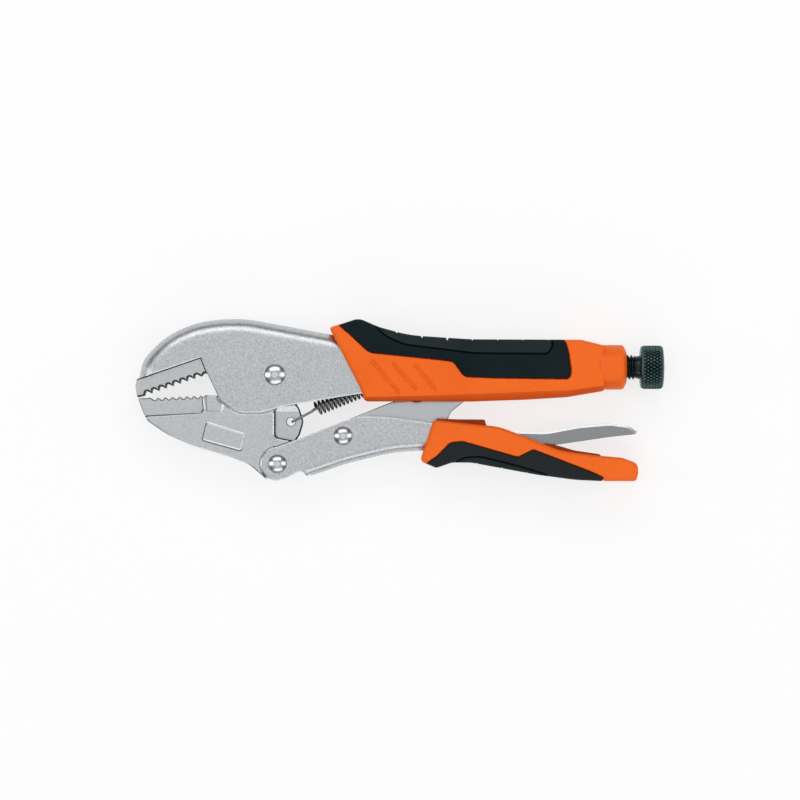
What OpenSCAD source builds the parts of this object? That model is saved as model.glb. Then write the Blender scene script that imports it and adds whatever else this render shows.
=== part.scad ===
// Locking pliers with a curved lower jaw, an over-centre link and two moulded grips.
// The tool lies on its side: X runs along it from the jaws to the screw, Y runs from
// the moving lever up to the fixed handle, Z is its thickness. Millimetres.

/* [Size] */
// Half the thickness over the grips, which is also the height of the mid-plane
grip_half = 11.5; // [10:0.1:14]
// Half the outside width of the two pressed steel channels
channel_half = 7.5; // [7:0.1:8.5]
// Thickness of the pressed steel sheet
sheet = 2.5; // [1.5:0.1:3]
// Radius of the bend along the lever's channel
lever_bend_r = 5; // [3:0.5:7]
// Radius of the long edges of the grips
grip_edge_r = 2; // [0.5:0.5:3]

/* [Jaws] */
// Half the thickness of the jaw plates where they show between the sheets
jaw_half = 5; // [4:0.1:5]
// Half the thickness of the jaw inside the channels
tang_half = 4.7; // [4:0.05:4.8]
// Half the thickness of the lower jaw's wide body
body_half = 7.2; // [6:0.1:7.5]
// Half the thickness of the spring lug
lug_half = 3; // [2:0.5:4]
// Depth of the jaw teeth
tooth_depth = 1.7; // [0.8:0.1:2]
// Teeth on the upper jaw
upper_teeth = 8; // [6:1:10]
// Teeth on the lower jaw
lower_teeth = 7; // [6:1:10]

/* [Link and rivets] */
// Half the thickness of the link plate
link_half = 3; // [2:0.5:4]
// Radius of the main rivet's shank
main_shank_r = 3.6; // [3:0.1:4]
// Radius of the two lever rivets' shanks
lever_shank_r = 3.2; // [2.5:0.1:3.5]
// Radius of the main rivet's head
main_head_r = 4.85; // [4.4:0.05:5.5]
// Radius of the lever rivets' heads
lever_head_r = 4.3; // [3.8:0.05:5]
// Height of a rivet head over the sheet
head_h = 2.1; // [0.5:0.1:2.5]
// Radial running clearance of every pivot
run = 0.05; // [0.01:0.01:0.1]

/* [Adjusting screw] */
// Outside radius of the thread
thread_r = 6; // [5:0.25:6.25]
// Thread pitch
pitch = 1.75; // [1.5:0.25:2]
// Radius of the knob
knob_r = 10.45; // [9:0.1:12]
// Length of the knob
knob_len = 11.8; // [9:0.1:14]

/* [Return spring] */
// Radius of the spring wire
wire_r = 0.55; // [0.4:0.05:0.8]
// Mean radius of the coil
coil_r = 3; // [2:0.1:3.2]
// Coil turns
coil_turns = 17; // [10:1:20]

/* [Hidden] */
$fn = 48;
mid = grip_half;
main_pin = [-60, 12.1];
lever_pin = [-58.8, -30.6];
link_pin = [-27.3, -17.2];
trigger_pin = [37.4, -18.6];
anchor_pin = [-4, 10.2];
lug_hole = [-52.3, -10.5];
coil_start = [-41.4, -4.8];
screw_y = 15.7;
link_tip_x = 56.1;
screw_tip_x = 59.6;
bush_r = 7;
barrel_r = 8.6;
ear_r = 8.1;
steel = [0.72, 0.74, 0.75];
bright = [0.8, 0.81, 0.82];
orange = [0.92, 0.38, 0.14];
rubber = [0.13, 0.16, 0.17];
oxide = [0.08, 0.12, 0.13];

// ---------- outlines with rounded corners ----------
// A corner is [x, y, radius, weight]; the weight says whether a rolled edge follows it.

function unit(v) = v / norm(v);
function cyc(list, i) = list[(i + len(list)) % len(list)];
function flat(p) = [p[0], p[1]];
function radius(p) = len(p) > 2 ? p[2] : 0;
function weight(p) = len(p) > 3 ? p[3] : 0;
function wrap(a) = a > 180 ? a - 360 : (a < -180 ? a + 360 : a);
function arc_at(c, r, a0, turn, n, w) =
  [for (k = [0 : n]) [c.x + r * cos(a0 + turn * k / n), c.y + r * sin(a0 + turn * k / n), w]];
function corner(p, q, n) =
  let (a = unit(flat(p) - flat(q)), b = unit(flat(n) - flat(q)))
  let (h = acos(max(-1, min(1, a * b))) / 2)
  let (room = min(norm(flat(p) - flat(q)), norm(flat(n) - flat(q))))
  let (r = min(radius(q), 0.48 * room * tan(h)))
  r < 0.05 || h > 89 ? [[q[0], q[1], weight(q)]] :
  let (c = flat(q) + unit(a + b) * r / sin(h), reach = r / tan(h))
  let (s = flat(q) + a * reach - c, e = flat(q) + b * reach - c)
  let (a0 = atan2(s.y, s.x), turn = wrap(atan2(e.y, e.x) - a0))
  arc_at(c, r, a0, turn, max(1, ceil(abs(turn) / 22), ceil(abs(turn) * r / 260)), weight(q));
function outline(c) =
  [for (i = [0 : len(c) - 1]) each corner(cyc(c, i - 1), c[i], cyc(c, i + 1))];
function plain(pts) = [for (p = pts) flat(p)];

// Inward direction at every point of an anticlockwise outline, longer at sharp corners.
function inward(pts) = [for (i = [0 : len(pts) - 1])
  let (a = unit(flat(pts[i]) - flat(cyc(pts, i - 1))))
  let (b = unit(flat(cyc(pts, i + 1)) - flat(pts[i])))
  let (m = unit([-a.y - b.y, a.x + b.x])) m / max(0.5, m * [-a.y, a.x])];
// Moves the weighted points in by d and the others out by out.
function shifted(pts, d, out) = let (m = inward(pts))
  [for (i = [0 : len(pts) - 1])
    let (q = flat(pts[i]) + m[i] * (pts[i][2] > 0 ? d * pts[i][2] : -out)) [q.x, q.y, pts[i][2]]];

// A row of teeth between two points; the valleys lie to the left of the direction of travel.
function teeth(p, q, n, depth) = let (u = unit(q - p), v = [-u.y, u.x], s = norm(q - p) / n)
  [for (i = [0 : n]) each (i < n ?
    [p + u * s * i, p + u * s * (i + 0.28) + v * depth, p + u * s * (i + 0.5) + v * depth]
    : [p + u * s * i])];

module plate(pts, half) {
  translate([0, 0, -half])
    linear_extrude(height = 2 * half)
      polygon(plain(pts));
}
module pin_z(p, r, half) {
  translate([p.x, p.y, -half])
    cylinder(h = 2 * half, r = r);
}
module rod_x(x0, x1, r) {
  translate([x0, screw_y, 0])
    rotate([0, 90, 0])
      cylinder(h = x1 - x0, r = r, $fn = 72);
}

// A slab whose weighted edges are rolled to radius r on both faces.
module rolled(pts, half, r, steps) {
  m = inward(pts);
  n = len(pts);
  bend = [for (k = [0 : steps]) [r * (1 - sin(90 * k / steps)), -half + r * (1 - cos(90 * k / steps))]];
  low = concat([[r, -half - 2], [r, -half + 0.01]], [for (k = [1 : steps]) bend[k]]);
  high = [for (k = [len(low) - 1 : -1 : 0]) [low[k][0], -low[k][1]]];
  rings = r < half - 0.01 ? concat(low, high) : concat(low, [for (k = [1 : len(high) - 1]) high[k]]);
  points = [for (g = rings) for (i = [0 : n - 1])
    [pts[i][0] + m[i].x * g[0] * pts[i][2], pts[i][1] + m[i].y * g[0] * pts[i][2], g[1]]];
  sides = [for (k = [0 : len(rings) - 2]) for (i = [0 : n - 1]) let (j = (i + 1) % n)
    each [[k * n + i, (k + 1) * n + i, k * n + j], [k * n + j, (k + 1) * n + i, (k + 1) * n + j]]];
  lid = (len(rings) - 1) * n;
  intersection() {
    polyhedron(points = points,
      faces = concat([[for (i = [0 : n - 1]) i]], [[for (i = [n - 1 : -1 : 0]) lid + i]], sides));
    translate([-160, -80, -half])
      cube([320, 160, 2 * half]);
  }
}

// ---------- outlines of the pieces ----------

// Fixed handle channel: free lower edge first, then the rolled back from rear to nose.
frame_c = [[-126.2, 4, 0, 0.4], [-118, 4], [-100, 9], [-92.6, 12.6], [-86.3, -0.2, 3],
  [-81.6, -3.8, 5], [-76.5, -6.1, 9], [-66.4, -6, 12], [-55.4, -2.8, 20], [-18.4, 3.2, 40],
  [38.3, 4, 60], [94, 7.6], [94, 23.7, 0, 1], [28.7, 23.7, 150, 1], [-19.3, 28.9, 150, 1],
  [-73.3, 38.9, 62, 1], [-85.9, 38.9, 76, 1], [-99.1, 36.8, 46, 1], [-112.9, 30.4, 40, 1],
  [-123.6, 19.2, 22, 1]];
frame_pts = outline(frame_c);
// Space under the edge line of the sheet at the jaw.
window_c = [[-130, 8.6], [-123.4, 10.9], [-95.5, 20.5, 0.8], [-92.6, 13.1], [-86, 0],
  [-95, -8], [-130, -8]];

// Upper jaw: toothed strip under the sheet, and its tang between the cheeks.
upper_c = concat([[-125.9, 1.2], [-122.4, 2]],
  teeth([-122.4, 2], [-95.2, 11.2], upper_teeth, tooth_depth),
  [[-93.7, 12.9], [-90.5, 11.6, 1], [-86, 13, 3], [-86, 28.4, 4], [-95, 28.4, 6],
  [-106, 24, 6], [-118.5, 12.9], [-123.2, 11.2, 0.5], [-126.4, 10, 1], [-127, 7, 3],
  [-126.7, 4.2, 3]]);

// Lower jaw, shared lower edge from the tip to the lever rivet.
belly_c = [[-125.8, 0.8, 0.5], [-123.2, -6.1, 6], [-120.3, -10.6, 4], [-110.7, -17.1, 30],
  [-99, -22.1, 50], [-81.8, -27.2, 60], [-72.2, -31, 14], [-64.2, -37.9]];
lower_teeth_c = teeth([-95.6, 2.3], [-119.8, 1.1], lower_teeth, 1.1);
jaw_plate_c = concat(belly_c, [[-60.3, -34], [-60.3, -6], [-56, 0], [-53, 6], [-60, 20], [-66.5, 17],
  [-75, 9, 4], [-83, 1.9, 3], [-93.8, 2.3, 0.3], [-94.6, 1]], lower_teeth_c,
  [[-122.2, 0.9]]);
jaw_body_c = concat([[-122.6, -8, 1]], [for (i = [2 : 7]) belly_c[i]],
  [[-60, -37], [-50.1, -24], [-54.5, -18.9, 1], [-59.6, -18.1, 1.2], [-60.4, -16.7, 1],
  [-60.4, -5.7, 0.6], [-66.3, -6.75, 12], [-76.7, -6.8, 9], [-82.1, -4.3, 5], [-86.8, -0.5, 3],
  [-88, 1.9], [-93.8, 2.3, 0.3], [-94.6, 0.6], [-94.1, -4.2, 1], [-95.4, -6.4, 1.8]]);
lug_c = [[-61, -25], [-51.8, -22, 3], [-48.2, -16.9, 4], [-46.2, -10.5, 6], [-48.3, -4.2, 5],
  [-52, 1.5, 4], [-51.9, 12], [-61, 12]];

// Lever channel: lower edge with the bend from the ears back, then the free upper edge.
lever_c = concat([for (a = [90 : 10 : 270])
  [lever_pin.x + ear_r * cos(a), lever_pin.y + ear_r * sin(a)]],
  [[-53.7, -37.3, 6], [-49.2, -34.4, 2], [-46.3, -34.6, 1.4],
  [-44.2, -36.8, 1], [-40, -35.5, 0, 1], [-26.1, -30.6, 90, 1], [-3, -25, 80, 1],
  [12, -24.2, 80, 1], [30, -24.6, 60, 1], [50, -27.2, 90, 1], [72, -32, 90, 1],
  [108, -36.8, 0, 1], [108, -29.4], [96, -28.9, 20], [67.2, -24, 20], [47.9, -17.7, 20],
  [33.5, -13.8, 20], [9.5, -10.2, 40], [-8, -7.9, 30], [-20, -7.9, 20], [-26.6, -9.9, 20]]);
// Hollow of that channel, open at the ears, at the top and at the rear end.
lever_hollow_c = [[-75, -45], [-42.8, -45], [-42.8, -33.7, 1], [-27, -28.2, 90], [-3.4, -22.5, 80],
  [12, -21.7, 80], [30, -22.1, 60], [49.6, -24.7, 90], [71.6, -29.5, 90], [107.6, -34.3], [115, -35.3],
  [115, -15], [60, 0], [-75, 0]];

// Link: rivet end, push end, and the bump that the release lever lifts.
link_c = [[-30, -22.4], [-22, -23, 3], [-6, -21.8, 8], [10, -18.6, 10], [21.8, -13.4, 3.5],
  [24, -6, 6], [31, -0.6, 8], [50.8, 11.3, 2], [52.6, 18.9, 2], [36, 13.4, 20], [12, 4, 20],
  [-4, -1, 14], [-24, -9, 10], [-29.5, -11.8]];

// Release lever: nose, body and the long tail that a finger squeezes.
release_c = [[19.6, -19, 1.2], [27, -20.9, 3], [36, -21.8, 5], [47, -22.6, 8], [71, -22, 30],
  [100.8, -17.7, 60], [110.4, -16.7, 3], [114, -16.2, 0.8], [113.9, -15.3, 0.8],
  [109.5, -12.3, 6], [100.8, -11.1, 14], [86, -12.4, 40], [70, -15.4, 30], [56, -15, 14],
  [43, -13.6, 10], [34, -14.4, 8], [19.6, -16.7, 0.8]];
release_hollow_c = [[12, -21], [27, -30], [71, -24], [112, -21], [110.5, -16, 0.5],
  [100.8, -13.1, 12], [86, -14.4, 40], [70, -17.4, 30], [56, -17, 14], [43, -15.7, 10],
  [34, -16.4, 8], [12, -18.8]];

// Fixed grip: whole outline, dark inlay and palm pad.
grip_c = [[-32.6, 32, 0, 0.8], [-18.9, 5.4, 6, 1], [-16.9, -0.6, 2.6, 1], [33.5, -0.7, 60, 1],
  [60, 0.1, 60, 1], [80, 1.3, 30, 1], [98, 5, 0, 1], [98, 26.3, 0, 1], [87, 29, 10, 1],
  [34, 29.1, 150, 1], [4, 31.2, 90, 1], [-10, 35.1, 20, 1], [-19.8, 39.3, 7, 1],
  [-28, 36.6, 12, 1], [-33.9, 34.9, 1.2, 0.4]];
inlay_c = [[-29.4, 45], [-29.4, 36], [-24.2, 31.6, 20], [-14.8, 22.8, 7], [20, 19.2, 60],
  [25.6, 18.4, 3], [30.8, 11.2, 4], [45, 10.6, 20], [81.6, 10.1, 3.5], [81.9, 15, 10],
  [80.4, 25, 20], [77.6, 31], [77.6, 45]];
pad_c = [[-12.8, 45], [-12.8, 36.2], [-6.8, 30.6, 12], [2, 26.6, 20], [36, 22.4, 60],
  [70.6, 22.2, 2.4], [73.4, 26, 5], [72, 30], [72, 45]];

// Lever grip: whole outline, dark inlay and finger pad.
lgrip_c = [[9.6, -29.3, 2.6, 1], [17.4, -32.6, 2.8, 1], [24.9, -30, 8, 1], [34, -30, 20, 1],
  [66, -35.9, 60, 1], [84, -38.4, 60, 1], [97.8, -39, 20, 1], [112.5, -39, 2.6, 1],
  [114.3, -33, 2.6, 1], [111.4, -28.8, 6, 1], [97, -26.9, 30, 1], [76.8, -24.2, 30, 1],
  [48, -12.9, 30, 1], [24, -10.3, 60, 1], [16, -9.6, 2.6, 1]];
linlay_c = [[12, -50], [12, -30.8], [18, -26.6, 10], [24, -20.4, 4], [30, -19.8, 6],
  [56.5, -27.4, 3], [63.8, -23.7, 2.5], [91.2, -34.2, 60], [97.4, -37, 1.5], [97.4, -50]];
lpad_c = [[71.3, -50], [71.3, -36.1, 2], [57.4, -31.8, 60], [38.3, -27.1, 14], [31.2, -27.6, 6],
  [26.3, -29.8], [24.6, -50]];

// ---------- shared cuts ----------

// What a grip leaves free for the fixed channel and for the link under it.
module handle_space() {
  plate(frame_pts, channel_half);
  plate([[-30, -3], [60, -3], [60, 12], [-30, 14]], jaw_half + 0.2);
  rod_x(60, 99, barrel_r);
  rod_x(98, 112, thread_r + 0.5);
}
// What a grip leaves free for the lever channel and the release lever over it.
module lever_space() {
  plate(outline(lever_c), channel_half);
  plate([[0, -8], [0, -20], [30, -22], [97, -31.5], [97, -8]], jaw_half + 0.2);
}
module pad_notches(list, depth) {
  for (p = list)
    translate([p[0], p[1], -20])
      rotate([0, 0, p[2]])
        translate([0, -depth, 0])
          rotate([0, 0, 45])
            cube([6, 6, 40]);
}
// Domed rivet with a flat on the head, lying along Z through both cheeks.
module rivet(p, shank, head) {
  dome = [[0, 0], [shank, 0], [shank, channel_half], [head, channel_half],
    [head, channel_half + 0.3], [head * 0.86, channel_half + 0.3 + 0.42 * (head_h - 0.3)],
    [head * 0.62, channel_half + 0.3 + 0.78 * (head_h - 0.3)], [head * 0.34, channel_half + head_h],
    [0, channel_half + head_h]];
  translate([p.x, p.y, 0]) {
    rotate_extrude()
      polygon(dome);
    mirror([0, 0, 1])
      rotate_extrude()
        polygon(dome);
  }
}

// ---------- fixed handle ----------

module handle_frame() color(steel) translate([0, 0, mid]) {
  difference() {
    union() {
      rolled(frame_pts, channel_half, channel_half, 5);
      rod_x(62, 98.9, barrel_r);
    }
    intersection() {
      rolled(shifted(frame_pts, sheet, 4), channel_half - sheet, channel_half - sheet, 4);
      translate([-140, -20, -20])
        cube([202, 80, 40]);
    }
    plate(outline(window_c), 20);
    rod_x(60, 100, bush_r);
    pin_z(main_pin, main_shank_r, 20);
    pin_z(anchor_pin, 1.6, 20);
  }
}

module upper_jaw() color(bright) translate([0, 0, mid]) {
  plate(outline(upper_c), jaw_half);
}

module main_pivot_rivet() color(bright) translate([0, 0, mid]) {
  rivet(main_pin, main_shank_r, main_head_r);
}

module spring_anchor_pin() color(steel) translate([0, 0, mid]) {
  pin_z(anchor_pin, 1.6, channel_half);
}

module screw_bush() color(steel) translate([0, 0, mid]) {
  difference() {
    rod_x(78, 98.9, bush_r);
    rod_x(77, 100, thread_r + run);
  }
}

module handle_grip() color(orange) translate([0, 0, mid]) {
  difference() {
    union() {
      difference() {
        rolled(outline(grip_c), grip_half, grip_edge_r, 3);
        plate(outline(inlay_c), 20);
      }
      translate([96, screw_y, 0])
        rotate([0, 90, 0])
          rotate_extrude($fn = 72)
            polygon([[0, 0], [10.75, 0], [10.65, 9.5], [9.7, 11.6], [8.3, 12.9], [0, 12.9]]);
      pin_z([8, 3.5], 4.8, channel_half);
    }
    handle_space();
  }
}

module handle_grip_inlay() color(rubber) translate([0, 0, mid]) {
  difference() {
    intersection() {
      rolled(outline(grip_c), grip_half, grip_edge_r, 3);
      plate(outline(inlay_c), 20);
    }
    plate(outline(pad_c), 20);
    handle_space();
  }
}

module handle_palm_pad() color(rubber * 0.8) translate([0, 0, mid]) {
  difference() {
    intersection() {
      rolled(outline(grip_c), grip_half, grip_edge_r, 3);
      plate(outline(pad_c), 20);
    }
    handle_space();
    pad_notches([for (i = [0 : 6]) [-1.6 + 12 * i, i < 1 ? 32.6 : i < 2 ? 30.4 : 29.4, i < 2 ? -8 : 0]], 1);
  }
}

// ---------- lower jaw and spring ----------

module lower_jaw() color(bright) translate([0, 0, mid]) {
  difference() {
    union() {
      plate(outline(jaw_plate_c), tang_half);
      pin_z(main_pin, 8.2, tang_half);
      pin_z(lever_pin, 7.7, tang_half);
      plate(outline(lug_c), lug_half);
      difference() {
        plate(outline(jaw_body_c), body_half);
        pin_z(lever_pin, ear_r + 0.6, 20);
        plate([[-59.1, -22], [-58, -36], [-40, -36], [-26.8, -9.4]], 20);
      }
      difference() {
        pin_z(lever_pin, ear_r + 1, tang_half);
        plate([[-70, -50], [-70, -24], [-58.8, -30.6], [-45, -24], [-45, -50]], 20);
      }
    }
    difference() {
      plate(outline([[-93.2, 5, 0], [-92.4, -5.4, 0.8], [-84.8, -5.4, 0.8], [-84.8, 5, 0]]), 20);
      plate([[-100, -10], [-80, -10], [-80, 10], [-100, 10]], body_half - 0.6);
    }
    pin_z(main_pin, main_shank_r + run, 20);
    pin_z(lever_pin, lever_shank_r + run, 20);
    pin_z(lug_hole, 2, 20);
  }
  for (s = [-1, 1])
    translate([-84.4, -17.6, s * (body_half - 0.2)])
      rotate([0, 0, -17.2])
        difference() {
          cube([19.2, 9, 1], center = true);
          cube([17.4, 7.2, 2], center = true);
        }
}

// Round wire swept along a list of points, its section turned as little as possible.
function along(list, i) = unit(list[min(i + 1, len(list) - 1)] - list[max(i - 1, 0)]);
function upright(u, t) = unit(u - (u * t) * t);
function ups(list, i, u) = i >= len(list) ? [] :
  let (v = upright(u, along(list, i))) concat([v], ups(list, i + 1, v));
module wire(list, r, m) {
  n = len(list) - 1;
  up = ups(list, 0, [0.1, 0.9, 0.2]);
  pts = [for (i = [0 : n]) for (k = [0 : m - 1])
    list[i] + r * (cos(360 * k / m) * up[i] + sin(360 * k / m) * cross(along(list, i), up[i]))];
  sides = [for (i = [0 : n - 1]) for (k = [0 : m - 1]) let (j = (k + 1) % m)
    each [[i * m + k, (i + 1) * m + k, i * m + j], [i * m + j, (i + 1) * m + k, (i + 1) * m + j]]];
  polyhedron(points = pts, faces = concat(sides,
    [[for (k = [0 : m - 1]) k]], [[for (k = [m - 1 : -1 : 0]) n * m + k]]));
}

module return_spring() color(steel) translate([0, 0, mid]) {
  d = anchor_pin - coil_start;
  span = norm(d);
  turn = atan2(d.y, d.x);
  front = [[0.6, 0, -4.4], [0.6, 0, 2.4], [0.8, 0.15, 3.3], [1.5, 0.6, 3.75]];
  lead = [for (p = front) [p.x + lug_hole.x, p.y + lug_hole.y, p.z]];
  body = [for (i = [0 : coil_turns * 12])
    [1.2 + (span - 6.8) * i / (coil_turns * 12), coil_r * sin(30 * i), coil_r * cos(30 * i)]];
  hook = [[span - 4.6, 1.8, 2.2], [span - 3.6, -0.6, 2.4], [span - 2.4, -2, 1.6],
    [span - 0.4, -2.4, 1], [span + 1.6, -1.7, 0.4], [span + 2.5, 0, 0], [span + 1.7, 1.7, -0.4],
    [span, 2.3, -0.8]];
  coil = [for (p = concat([[-1.4, -0.35, 3.6], [0.2, 0.2, 3]], body, hook))
    [coil_start.x + p.x * cos(turn) - p.y * sin(turn),
     coil_start.y + p.x * sin(turn) + p.y * cos(turn), p.z]];
  wire(concat(lead, coil), wire_r, 7);
}

// ---------- lever ----------

module lever_frame() color(steel) translate([0, 0, mid]) {
  difference() {
    rolled(outline(lever_c), channel_half, lever_bend_r, 4);
    plate(outline(lever_hollow_c), channel_half - sheet);
    pin_z(lever_pin, lever_shank_r, 20);
    pin_z(link_pin, lever_shank_r, 20);
    pin_z(trigger_pin, 1.8, 20);
  }
}

module lever_pivot_rivet() color(bright) translate([0, 0, mid]) {
  rivet(lever_pin, lever_shank_r, lever_head_r);
}

module link_rivet() color(bright) translate([0, 0, mid]) {
  rivet(link_pin, lever_shank_r, lever_head_r);
}

module release_pin() color(steel) translate([0, 0, mid]) {
  pin_z(trigger_pin, 1.8, channel_half);
}

module lever_grip() color(orange) translate([0, 0, mid]) {
  difference() {
    union() {
      rolled(outline(lgrip_c), grip_half, grip_edge_r, 3);
      plate(outline([[17, -12], [41.5, -12.5], [40.6, -9.5, 0.6], [17.4, -9, 0.8]]), channel_half);
      plate(outline([[70, -24], [96.5, -28.5], [96.2, -26.1, 1], [84, -24.4, 20], [68, -20.4, 3]]),
        channel_half);
    }
    plate(outline(linlay_c), 20);
    lever_space();
  }
}

module lever_grip_inlay() color(rubber) translate([0, 0, mid]) {
  difference() {
    intersection() {
      rolled(outline(lgrip_c), grip_half, grip_edge_r, 3);
      plate(outline(linlay_c), 20);
    }
    plate(outline(lpad_c), 20);
    lever_space();
  }
}

module lever_finger_pad() color(rubber * 0.8) translate([0, 0, mid]) {
  difference() {
    intersection() {
      rolled(outline(lgrip_c), grip_half, grip_edge_r, 3);
      plate(outline(lpad_c), 20);
    }
    lever_space();
    pad_notches([[36.9, -30.5, 175], [48.9, -32.7, 170], [60.6, -34.9, 170]], 1);
  }
}

// ---------- link, release lever and screw ----------

module link() color(bright) translate([0, 0, mid]) {
  difference() {
    union() {
      plate(outline(link_c), link_half);
      pin_z([link_tip_x - 3.9, screw_y], 3.9, link_half);
      pin_z(link_pin, 5.8, tang_half);
    }
    pin_z(link_pin, lever_shank_r + run, 20);
  }
}

module release_lever() color(steel) translate([0, 0, mid]) {
  difference() {
    plate(outline(release_c), tang_half);
    plate(outline(release_hollow_c), tang_half - 1.5);
    pin_z(trigger_pin, 1.8 + run, 20);
  }
}

module adjusting_screw() color(oxide) translate([0, 0, mid]) {
  ridges = floor((112.5 - screw_tip_x - 4) / pitch);
  start = screw_tip_x + 4;
  profile = concat([[0, screw_tip_x], [3.6, screw_tip_x], [4.4, screw_tip_x + 0.8],
    [4.4, start - 0.6], [thread_r - 1, start]],
    [for (i = [0 : ridges - 1]) each [[thread_r, start + pitch * (i + 0.4)],
      [thread_r, start + pitch * (i + 0.55)], [thread_r - 1, start + pitch * (i + 0.95)]]],
    [[5, 112.8], [5.7, 113.2], [5.7, 115.2], [knob_r - 0.9, 115.2],
    [knob_r, 116.2], [knob_r, 115.2 + knob_len - 1.8], [knob_r - 1.4, 115.2 + knob_len - 0.4],
    [knob_r - 2.6, 115.2 + knob_len], [0, 115.2 + knob_len]]);
  translate([0, screw_y, 0])
    rotate([0, 90, 0])
      rotate_extrude($fn = 72)
        polygon(profile);
}

handle_frame();
upper_jaw();
main_pivot_rivet();
spring_anchor_pin();
screw_bush();
handle_grip();
handle_grip_inlay();
handle_palm_pad();
lower_jaw();
return_spring();
lever_frame();
lever_pivot_rivet();
link_rivet();
release_pin();
lever_grip();
lever_grip_inlay();
lever_finger_pad();
link();
release_lever();
adjusting_screw();
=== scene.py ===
import bmesh
import bpy
import math
import numpy as np
from mathutils import Matrix, Vector
from mathutils.geometry import delaunay_2d_cdt


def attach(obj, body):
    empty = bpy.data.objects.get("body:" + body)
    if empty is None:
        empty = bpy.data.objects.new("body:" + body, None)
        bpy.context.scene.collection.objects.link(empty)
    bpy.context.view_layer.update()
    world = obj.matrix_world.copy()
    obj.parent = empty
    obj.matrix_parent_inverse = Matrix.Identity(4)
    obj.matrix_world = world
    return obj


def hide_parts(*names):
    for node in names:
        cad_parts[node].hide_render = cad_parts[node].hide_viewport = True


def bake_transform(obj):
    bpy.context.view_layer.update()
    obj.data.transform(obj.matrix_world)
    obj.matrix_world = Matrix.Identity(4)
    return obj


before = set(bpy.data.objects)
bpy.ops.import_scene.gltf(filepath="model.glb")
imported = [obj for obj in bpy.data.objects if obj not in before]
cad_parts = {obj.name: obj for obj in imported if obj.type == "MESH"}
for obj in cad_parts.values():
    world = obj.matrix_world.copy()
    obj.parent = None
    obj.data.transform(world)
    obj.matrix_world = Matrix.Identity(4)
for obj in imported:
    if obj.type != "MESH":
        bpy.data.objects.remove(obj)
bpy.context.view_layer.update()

# Sizes and places are in millimetres in the frame's axes. MM turns them into metres.
# The tool lies on its side: X runs from the jaws to the knob, Z is across the tool.
MM = 0.001
MID = 11.5  # height of the mid-plane, and half the grips' width
CHANNEL = 7.5  # half the width over the steel channels
WALL = 2.5  # thickness of the sheet steel
HOLLOW = CHANNEL - WALL  # half the width inside the channels
TANG = 4.7  # half the width of the jaw's tang, the link's eye and the release lever
THROUGH = (-5, 30)  # heights of a cut right through the tool
POLE = 0.001  # radius that closes a turned piece on its axis
SCREW_Y = 15.7  # axis of the adjusting screw
MAIN_PIVOT = np.array([-60.0, 12.1])  # rivet between handle and jaw
LEVER_PIVOT = np.array([-58.8, -30.6])  # rivet between jaw and lever
LINK_PIVOT = np.array([-27.3, -17.2])  # rivet between lever and link
RELEASE_PIVOT = np.array([37.4, -18.6])  # pin between the two levers
SPRING_PIN = np.array([-4.0, 10.2])  # pin in the handle that the spring pulls on
SPRING_HOLE = np.array([-52.3, -10.5])  # hole in the jaw's lug that the spring hooks into


# -------- outlines

def unit(v):
    return v / max(np.linalg.norm(v), 1e-9)


def outline(corners, step=0.8, closed=True):
    """Corners [x, y, r] as a polyline with true arcs, cut into stretches no longer than step."""
    n = len(corners)
    out = []
    for i, c in enumerate(corners):
        q = np.array(c[:2], float)
        r = c[2] if len(c) > 2 else 0
        if not closed and i in (0, n - 1):
            out.append(q)
            continue
        p = np.array(corners[(i - 1) % n][:2], float)
        s = np.array(corners[(i + 1) % n][:2], float)
        a, b = unit(p - q), unit(s - q)
        half = math.acos(max(-1, min(1, float(a @ b)))) / 2
        room = min(np.linalg.norm(p - q), np.linalg.norm(s - q))
        r = min(r, 0.48 * room * math.tan(half))
        if r < 0.03 or half > math.radians(89.5):
            out.append(q)
            continue
        centre = q + unit(a + b) * r / math.sin(half)
        reach = r / math.tan(half)
        u, v = q + a * reach - centre, q + b * reach - centre
        first = math.atan2(u[1], u[0])
        turn = (math.atan2(v[1], v[0]) - first + math.pi) % (2 * math.pi) - math.pi
        k = max(2, int(math.ceil(abs(turn) / 0.16)), int(math.ceil(abs(turn) * r / step)))
        for t in range(k + 1):
            angle = first + turn * t / k
            out.append(centre + r * np.array([math.cos(angle), math.sin(angle)]))
    fine = []
    m = len(out)
    for i in range(m if closed else m - 1):
        p, q = out[i], out[(i + 1) % m]
        k = max(1, int(math.ceil(np.linalg.norm(q - p) / step)))
        fine += [p + (q - p) * t / k for t in range(k)]
    if not closed:
        fine.append(out[-1])
    fine = np.array(fine)
    keep = [0]
    for i in range(1, len(fine)):
        if np.linalg.norm(fine[i] - fine[keep[-1]]) > 0.02:
            keep.append(i)
    return fine[keep]


def circle(c, r, n=72):
    a = np.linspace(0, 2 * math.pi, n, endpoint=False)
    return np.stack([c[0] + r * np.cos(a), c[1] + r * np.sin(a)], 1)


def ccw(poly):
    """The outline as an array that runs anticlockwise."""
    poly = np.asarray(poly, float)
    x, y = poly[:, 0], poly[:, 1]
    return poly if np.sum(x * np.roll(y, -1) - y * np.roll(x, -1)) > 0 else poly[::-1]


def inside(pts, poly):
    """Which points lie inside an outline."""
    x, y = pts[:, 0], pts[:, 1]
    res = np.zeros(len(pts), bool)
    for (x0, y0), (x1, y1) in zip(poly, np.roll(poly, -1, 0)):
        if y0 != y1:
            hit = (y0 > y) != (y1 > y)
            res ^= hit & (x < (x1 - x0) * (y - y0) / (y1 - y0) + x0)
    return res


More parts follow.
